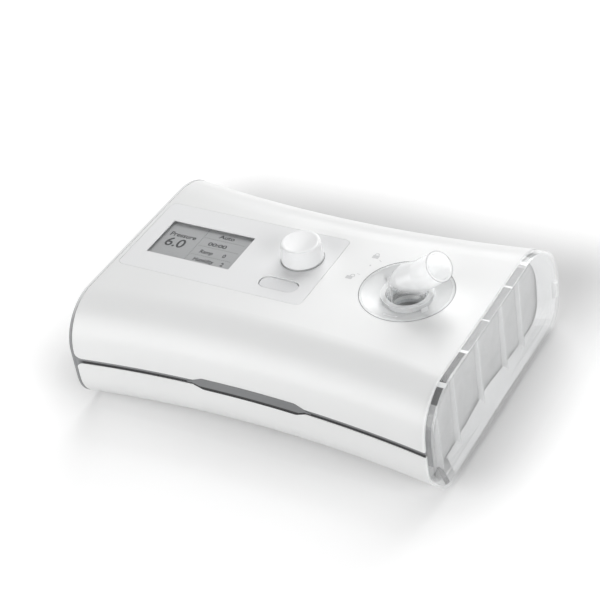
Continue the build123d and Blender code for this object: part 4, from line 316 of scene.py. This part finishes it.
LOOKS = {
    "white_shell": moulded("white_shell", (0.825, 0.83, 0.828), (0.81, 0.815, 0.813), (0.28, 0.34)),
    "trim_grey": trim(),
    "gasket_black": rubber("gasket_black", (0.006, 0.006, 0.007)),
    "badge_grey": badge(),
    "foot_rubber": rubber("foot_rubber", (0.028, 0.028, 0.03)),
    "steel": metal("steel", (0.56, 0.56, 0.57)),
    "panel_sheet": moulded("panel_sheet", (0.81, 0.815, 0.82), (0.79, 0.795, 0.80), (0.42, 0.5),
                           2200.0, 0.02),
    "knob_white": moulded("knob_white", (0.84, 0.845, 0.85), (0.82, 0.825, 0.83), (0.2, 0.28)),
    "button_grey": moulded("button_grey", (0.72, 0.725, 0.735), (0.69, 0.695, 0.705), (0.3, 0.38)),
    "lens_clear": clear_plastic("lens_clear", (0.0, 0.01), 0.05, (0.03, 0.06), 0.3, 0.0),
    "lcd_grey": lcd_grey(),
    "lcd_metal": metal("lcd_metal", (0.80, 0.80, 0.81), along=(0.05, 1, 1)),
    "circuit_board": circuit_board(),
    "component_black": moulded("component_black", (0.022, 0.022, 0.024), (0.03, 0.03, 0.032), (0.45, 0.6),
                               1800.0, 0.2),
    "aluminium": metal("aluminium", (0.78, 0.79, 0.80), along=(1, 0.04, 1)),
    "clear_plastic": clear_plastic("clear_plastic", (0.04, 0.08), 0.60),
    "frosted_clear": clear_plastic("frosted_clear", (0.55, 0.62), 0.80, (0.24, 0.32), 0.8),
    "seal_silicone": rubber("seal_silicone", (0.52, 0.54, 0.55)),
    "inner_plastic": moulded("inner_plastic", (0.55, 0.56, 0.57), (0.51, 0.52, 0.53), (0.4, 0.5)),
    "duct_grey": moulded("duct_grey", (0.055, 0.058, 0.062), (0.045, 0.048, 0.05), (0.4, 0.5), 1400.0, 0.1),
    "foam": open_cells("foam", (0.045, 0.045, 0.048), 900.0, 0.9),
    "filter_media": open_cells("filter_media", (0.74, 0.75, 0.76), 2400.0, 0.5),
    "copper": windings(),
    "heater_film": heater_film(),
}

for subpart in frame["record"]["subparts"]:
    piece = nodes[subpart["node"]]
    piece.data.materials.clear()
    piece.data.materials.append(LOOKS[subpart["material_slot"]])

ELBOW_FOOT = (0.0960, 0.1040)                # heights between which the elbow turns from clear to milky
nodes["elbow"].data.materials[0] = clear_plastic("elbow_milky", (0.48, 0.55), 0.85, (0.10, 0.15), 0.7,
                                                foot=ELBOW_FOOT)
nodes["outlet_disc"].data.materials[0] = clear_plastic("disc_clear", (0.40, 0.46), 0.60, (0.12, 0.17), 0.40)

# ---------------------------------------------------------------- print and small forms, in millimetres
ABOVE_ALL = 0.2                              # metres
INK_LIFT = 0.05
OUTLET_X = 81.85                             # the outlet's upright axis stands at (OUTLET_X, 0)
LCD_INK = moulded("lcd_ink", (0.012, 0.013, 0.015), (0.020, 0.021, 0.024), (0.5, 0.6))
# grey for print, and for the painted shade on the disc's finger grips
PRINT_AND_SHADE = moulded("print_and_shade_grey", (0.56, 0.565, 0.57), (0.60, 0.605, 0.61), (0.4, 0.5))


def mesh_piece(name, points, faces, look, body):
    """New piece that rides with one of the part's bodies."""
    mesh = bpy.data.meshes.new(name)
    mesh.from_pydata([[MM * value for value in point] for point in points], [], faces)
    mesh.materials.append(look)
    piece = bpy.data.objects.new(name, mesh)
    bpy.context.scene.collection.objects.link(piece)
    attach(piece, body)


def upper_face(node, x, y):
    """Height of a node's top at (x, y)."""
    above = Vector((x * MM, y * MM, ABOVE_ALL))
    hit, place, _, _ = nodes[node].ray_cast(above, Vector((0, 0, -1)))
    return place.z / MM if hit else 0.0


def ink(name, outlines, node, body, look=PRINT_AND_SHADE):
    """Flat printed shapes, laid on top of a node."""
    points, faces = [], []
    for outline in outlines:
        faces.append(tuple(range(len(points), len(points) + len(outline))))
        points += [(x, y, upper_face(node, x, y) + INK_LIFT) for x, y in outline]
    mesh_piece(name, points, faces, look, body)


def bar(x, y, length, width, turn=0.0):
    """Corners of a bar whose length lies at an angle in degrees."""
    c, s = cos(radians(turn)), sin(radians(turn))
    u, v = length / 2, width / 2
    return [(x + c * a - s * b, y + s * a + c * b) for a, b in ((-u, -v), (u, -v), (u, v), (-u, v))]


def arc(x, y, radius, width, start, end, steps=10):
    """Quads along an arc about (x, y), from one angle in degrees to another."""
    def at(step, r):
        angle = radians(start + (end - start) * step / steps)
        return x + r * cos(angle), y + r * sin(angle)
    inner, outer = radius - width / 2, radius + width / 2
    return [[at(k, inner), at(k, outer), at(k + 1, outer), at(k + 1, inner)] for k in range(steps)]


def padlock(x, y, open_by=0.0):
    """Lock symbol 5 mm wide; open_by moves its shackle aside."""
    radius, line = 1.5, 0.7
    shackle_x, shackle_y = x + open_by, y + 1.7
    feet = [bar(shackle_x + side, shackle_y - line, line, 2 * line) for side in (-radius, radius)]
    return [bar(x, y - 0.8, 5.0, 3.6), *feet, *arc(shackle_x, shackle_y, radius, line, 0, 180)]


def from_outlet(radius, angle):
    """Place at a radius and an angle in degrees about the outlet's axis."""
    return OUTLET_X + radius * cos(radians(angle)), radius * sin(radians(angle))


LOCKED_AT, FREE_AT = 143.0, 178.0            # where the disc's mark points, in degrees about the outlet
ink("print_locked", padlock(*from_outlet(48.8, LOCKED_AT)), "top_cover", "housing")
ink("print_unlocked", padlock(*from_outlet(46.5, FREE_AT), 1.6), "top_cover", "housing")
TICKS = ((42.0, LOCKED_AT, 2.6, 0.5), (42.0, 171.5, 2.6, 0.5), (42.3, 154.5, 1.2, 1.2))
ink("print_ticks",
    [bar(*from_outlet(radius, angle), length, width, angle) for radius, angle, length, width in TICKS],
    "top_cover", "housing")
ARROW_RADIUS, ARROW_LINE = 27.0, 0.6
ARROW_HEADS = (((28.4, -82), (27.0, -77.5), (25.6, -82)), ((28.4, -99), (25.6, -99), (27.0, -103.5)))
ink("print_turn", [*arc(OUTLET_X, 0, ARROW_RADIUS, ARROW_LINE, -99, -82),
                   *([from_outlet(*corner) for corner in head] for head in ARROW_HEADS)],
    "outlet_disc", "outlet_disc")


LCD_FACE = upper_face("lcd_glass", -90, 2) * MM
CAPITAL_SHARE = 0.72                         # height of a capital in the font's own size


def lcd_words(name, text, x, baseline, height, width_share, weight=0.14):
    """Generic lettering on the display; height is that of its capitals."""
    curve = bpy.data.curves.new(name, "FONT")
    curve.body = text
    curve.size = height / CAPITAL_SHARE * MM
    curve.offset = weight * MM
    curve.materials.append(LCD_INK)
    piece = bpy.data.objects.new(name, curve)
    piece.location = (x * MM, baseline * MM, LCD_FACE + INK_LIFT * MM)
    piece.scale = (width_share, 1, 1)
    bpy.context.scene.collection.objects.link(piece)
    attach(piece, "housing")


for words in (
        ("lcd_pressure", "Pressure", -121.7, 5.7, 4.8, 0.98),
        ("lcd_value", "6.0", -120.2, -6.3, 10.0, 1.00, 0.24),
        ("lcd_mode", "Auto", -82.5, 14.0, 4.2, 1.10),
        ("lcd_time", "00:00", -86.5, 3.4, 4.0, 1.30),
        ("lcd_ramp", "Ramp", -88.0, -6.6, 4.1, 0.88),
        ("lcd_ramp_value", "0", -68.0, -6.6, 4.1, 0.90),
        ("lcd_humidity", "Humidity", -88.0, -16.2, 4.1, 0.82),
        ("lcd_humidity_value", "2", -64.4, -16.2, 4.1, 0.90)):
    lcd_words(*words)
LCD_SPLIT, LCD_FOOT, LCD_ROWS = -94.2, -16.6, (11.2, 1.3, -9.5)
DOT, DOT_PITCH = 0.6, 1.75
dots = [bar(LCD_SPLIT, LCD_FOOT + DOT_PITCH * k, DOT, DOT) for k in range(23)]
for row in LCD_ROWS:
    dots += [bar(LCD_SPLIT + DOT_PITCH * (k + 1), row, DOT, DOT) for k in range(20)]
ink("lcd_rules", dots, "lcd_glass", "housing", LCD_INK)

# ---------------------------------------------------------------- gaps, grips and the mouth's line: painted shade
BAND_SHADE = moulded("band_shade", (0.28, 0.283, 0.287), (0.24, 0.243, 0.247), (0.5, 0.6))
# near black, a painted shadow for the gaps round the clear end cap
BAND_DARK_SHADE = rubber("band_dark_shade", (0.05, 0.05, 0.052))
GAP_SHADE = moulded("gap_shade", (0.20, 0.203, 0.207), (0.17, 0.173, 0.177), (0.6, 0.7))


def ring_faces(steps):
    """Quads between the point pairs of a closed ring."""
    after = [2 * ((k + 1) % steps) for k in range(steps)]
    return [(2 * k, 2 * k + 1, after[k] + 1, after[k]) for k in range(steps)]


GAP_NEAR, GAP_FAR, BESIDE_GAP = 34.0, 34.55, 36.0      # radii of the dark ring round the outlet disc, painted shade in its gap
GAP_STEPS = 72
gap_points = []
for step in range(GAP_STEPS):
    turn = 360 * step / GAP_STEPS
    level = upper_face("top_cover", *from_outlet(BESIDE_GAP, turn)) + INK_LIFT
    gap_points += [(*from_outlet(GAP_NEAR, turn), level), (*from_outlet(GAP_FAR, turn), level)]
mesh_piece("disc_gap_shade", gap_points, ring_faces(GAP_STEPS), GAP_SHADE, "housing")


def prism(name, outline, low, high, look, body):
    """Upright solid on a flat outline."""
    count = len(outline)
    points = [(x, y, z) for z in (low, high) for x, y in outline]
    sides = [(k, (k + 1) % count, count + (k + 1) % count, count + k) for k in range(count)]
    foot, top = tuple(reversed(range(count))), tuple(range(count, 2 * count))
    mesh_piece(name, points, [foot, top, *sides], look, body)


GRIP_TOP, GRIP_HEIGHT = 85.9, 1.2            # the disc's two finger grips, grey as painted shade on a recess's side wall
GRIP_CORNERS = ((20.6, -21), (29.8, -32.5), (24.3, -40.5), (20.6, -36))
for name, turn in (("disc_grip_front", 0), ("disc_grip_back", 180)):
    corners = [from_outlet(radius, angle + turn) for radius, angle in GRIP_CORNERS]
    prism(name, corners[::-1], GRIP_TOP - GRIP_HEIGHT, GRIP_TOP, PRINT_AND_SHADE, "outlet_disc")

LINE_NEAR, LINE_FAR, LINE_STEPS = 10.9, 11.25, 48      # radii of the dark line round the elbow's mouth, painted shade along its rim
mouth = next(mount for mount in frame["record"]["mounts"] if mount["name"] == "breathing_tube_end")
mouth_axis = Vector(mouth["axis"])
mouth_middle = Vector(mouth["pos_m"]) / MM + mouth_axis * (mouth["dims"]["length_mm"] / 2 + INK_LIFT)
mouth_side = mouth_axis.cross(Vector((0, 0, 1))).normalized()
mouth_up = mouth_side.cross(mouth_axis)
line_points = [tuple(mouth_middle + radius * (mouth_side * cos(turn) + mouth_up * sin(turn)))
               for turn in (2 * pi * k / LINE_STEPS for k in range(LINE_STEPS))
               for radius in (LINE_NEAR, LINE_FAR)]
mesh_piece("mouth_shade_line", line_points, ring_faces(LINE_STEPS), BAND_SHADE, "elbow")

KNOB_GAP = 0.35                              # width of the dark line round the knob's foot, painted shade in its gap
knob_low, knob_high = (Vector(corner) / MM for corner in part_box("knob"))
knob_middle = (knob_low + knob_high) / 2
knob_radius = (knob_high.x - knob_low.x) / 2 + KNOB_GAP
ink("knob_gap_shade", arc(knob_middle.x, knob_middle.y, knob_radius, KNOB_GAP, 0, 360, 60),
    "control_panel", "housing", GAP_SHADE)

# ---------------------------------------------------------------- inside the clear end cap
END_MIDDLE = 45.0                            # height of the end's middle
CAP_NEAR, CAP_FAR = 142.9, 148.2             # the band that shows through the cap's top wall, a painted shadow of the gap under the shells' edge
CAP_WALL = 2.4
SECTION_X = 144.0                            # the cap's outline is that of its vertices beyond here
PAST_OUTLINE = 300
BAND_STEP = 2.5                              # degrees


def cap_outline():
    """Corners of the end cap's outline, as (y, z)."""
    spots = [(v.co.y / MM, v.co.z / MM) for v in nodes["tank_cap"].data.vertices if v.co.x > SECTION_X * MM]
    return [Vector(spots[index]) for index in convex_hull_2d(spots)]


CAP_OUTLINE = cap_outline()


def cap_inside(x, angle, inset):
    """Point within the cap's outline; the angle goes about the end's middle from the back over the top."""
    middle = Vector((0, END_MIDDLE))
    way = Vector((cos(radians(angle)), sin(radians(angle))))
    for start, end in zip(CAP_OUTLINE, CAP_OUTLINE[1:] + CAP_OUTLINE[:1]):
        crossing = intersect_line_line_2d(middle, middle + way * PAST_OUTLINE, start, end)
        if crossing:
            return (x, *(crossing - way * inset))
    raise ValueError("the end's middle lies outside the cap")


def cap_band(name, angles, near, far, look, insets=(CAP_WALL, CAP_WALL), body="tank"):
    """Strip that follows the cap's wall from one angle to another, between two upright planes."""
    first, last = angles
    steps = max(2, int(abs(last - first) / BAND_STEP))
    points = []
    for step in range(steps + 1):
        angle = first + (last - first) * step / steps
        points += [cap_inside(near, angle, insets[0]), cap_inside(far, angle, insets[1])]
    faces = [(2 * k, 2 * k + 1, 2 * k + 3, 2 * k + 2) for k in range(steps)]
    mesh_piece(name, points, faces, look, body)


# white for the pale sill, and for painted highlights on the fins' ends and the shells' edge
SILL_AND_HIGHLIGHT_WHITE = moulded("sill_and_highlight_white", (0.86, 0.863, 0.866), (0.83, 0.833, 0.836), (0.3, 0.4))
# grey and near-black strips: painted shadow in the gap between the shells' edge and the cap
cap_band("cap_shade", (38, 138), CAP_NEAR, CAP_FAR, BAND_SHADE)
cap_band("cap_dark_shade", (138, 160), CAP_NEAR, CAP_FAR - 0.8, BAND_DARK_SHADE)
cap_band("cap_front_shade", (160, 186), CAP_NEAR, CAP_FAR - 1.2, BAND_SHADE)
TAB_ANGLES = (153.0, 137.0, 101.5, 53.5, 35.5)         # where the fins meet the cap's wall
TAB_HALF, TAB_LIFT = 0.9, 0.2                          # degrees, millimetres
TAB_ENDS = (CAP_NEAR - 0.4, CAP_FAR + 0.5)
# white tabs: painted highlights on the ends of the clear fins
for number, angle in enumerate(TAB_ANGLES):
    cap_band("cap_tab_%d" % number, (angle - TAB_HALF, angle + TAB_HALF), *TAB_ENDS, SILL_AND_HIGHLIGHT_WHITE,
             (CAP_WALL - TAB_LIFT, CAP_WALL - TAB_LIFT))

EDGE_NEAR, EDGE_FAR, EDGE_LIFT = 141.7, 142.5, -0.66    # bright rounded edge of the shells beside the cap, a painted highlight
cap_band("cover_edge_highlight", (20, 178), EDGE_NEAR, EDGE_FAR, SILL_AND_HIGHLIGHT_WHITE, (EDGE_LIFT, EDGE_LIFT), "housing")

SILL_NEAR, SILL_FAR = 137.6, 148.0           # pale sill below and behind the tank's end wall
SILL_INSETS = (12.5, CAP_WALL)
cap_band("cap_sill", (-152, 24), SILL_NEAR, SILL_FAR, SILL_AND_HIGHLIGHT_WHITE, SILL_INSETS)
# dark strip at the low front corner: painted shadow in the gap between the bottom case and the cap
cap_band("cap_corner_shade", (-158, -155), SILL_NEAR, SILL_FAR, BAND_DARK_SHADE, SILL_INSETS)

# ---------------------------------------------------------------- camera
CAMERA_PLACE = Vector((0.55862, -0.82732, 0.82704))
CAMERA_AHEAD = Vector((-0.44878, 0.65390, -0.60911))
CAMERA_ROLL = radians(-9.36)
CAMERA_LENS, CAMERA_SENSOR = 103.02, 36.0

camera_data = bpy.data.cameras.new("camera")
camera_data.lens = CAMERA_LENS
camera_data.sensor_width = CAMERA_SENSOR
camera = bpy.data.objects.new("camera", camera_data)
camera.location = CAMERA_PLACE
camera.rotation_mode = "QUATERNION"
camera.rotation_quaternion = CAMERA_AHEAD.to_track_quat("-Z", "Y") @ Quaternion((0, 0, 1), CAMERA_ROLL)
bpy.context.scene.collection.objects.link(camera)
bpy.context.scene.camera = camera


# ---------------------------------------------------------------- floor, sky and lamps
def shows_in_view(tree):
    """1 for rays that show a surface: straight to the camera, in gloss or through clear plastic."""
    paths = tree.nodes.new("ShaderNodeLightPath")
    best = paths.outputs["Is Camera Ray"]
    for other in ("Is Glossy Ray", "Is Transmission Ray"):
        wider = tree.nodes.new("ShaderNodeMath")
        wider.operation = "MAXIMUM"
        tree.links.new(best, wider.inputs[0])
        tree.links.new(paths.outputs[other], wider.inputs[1])
        best = wider.outputs[0]
    return best


def make_floor():
    """Plain pale floor, whose own light in view is held back in a box round the machine, a painted shadow
    over the lamps' cast one.
    """
    mesh = bpy.data.meshes.new("floor")
    corners = [(FLOOR_HALF * x, FLOOR_HALF * y, 0) for x, y in ((-1, -1), (1, -1), (1, 1), (-1, 1))]
    mesh.from_pydata(corners, [], [(0, 1, 2, 3)])
    floor = bpy.data.objects.new("floor", mesh)
    bpy.context.scene.collection.objects.link(floor)
    look = Look("floor")
    matt = look.node("ShaderNodeBsdfDiffuse", {"Color": FLOOR_COLOUR})
    from_middle = look.vector_math("SUBTRACT", look.place(), PAINTED_SHADOW_MIDDLE)[0]
    one_side = look.vector_math("ABSOLUTE", from_middle)[0]
    past_edge = look.vector_math("SUBTRACT", one_side, PAINTED_SHADOW_HALF)[0]
    away = look.vector_math("LENGTH", look.vector_math("MAXIMUM", past_edge)[0])["Value"]
    rising = look.node("ShaderNodeMapRange", {"Value": away, "From Max": GLOW_REACH, "To Min": GLOW[0],
                                              "To Max": GLOW[1]}, interpolation_type="SMOOTHSTEP")
    distant = look.range(away, 0.0, 1.0, *WHITE_FROM)
    shown = look.math("MAXIMUM", rising.outputs[0], distant)
    level = look.math("MULTIPLY", shows_in_view(look.tree), shown)
    glow = look.node("ShaderNodeEmission", {"Color": (1, 1, 1, 1), "Strength": level})
    look.shade(look.node("ShaderNodeAddShader", {0: matt.outputs[0], 1: glow.outputs[0]}))
    mesh.materials.append(look.material)


def make_sky():
    """Even sky: faint as a light, white where it shows."""
    world = bpy.data.worlds.new("sky")
    world.use_nodes = True
    tree = world.node_tree
    background = tree.nodes["Background"]
    background.inputs["Color"].default_value = (1, 1, 1, 1)
    level = tree.nodes.new("ShaderNodeMapRange")
    level.inputs["To Min"].default_value = SKY_LEVEL
    level.inputs["To Max"].default_value = 1.0
    tree.links.new(shows_in_view(tree), level.inputs["Value"])
    tree.links.new(level.outputs[0], background.inputs["Strength"])
    bpy.context.scene.world = world


def make_lamp(name, direction, size, level):
    """Square lamp that gives a surface facing it about level times full white."""
    data = bpy.data.lights.new(name, "AREA")
    data.shape = "SQUARE"
    data.size = size
    data.energy = level * pi * pi * LAMP_DISTANCE ** 2
    lamp = bpy.data.objects.new(name, data)
    towards = Vector(direction).normalized()
    lamp.location = towards * LAMP_DISTANCE
    lamp.rotation_mode = "QUATERNION"
    lamp.rotation_quaternion = (-towards).to_track_quat("-Z", "Y")
    lamp.visible_camera = False
    bpy.context.scene.collection.objects.link(lamp)


make_floor()
make_sky()
for lamp_name, setting in LAMPS.items():
    make_lamp(lamp_name, *setting)

bpy.context.scene.view_settings.view_transform = "Standard"
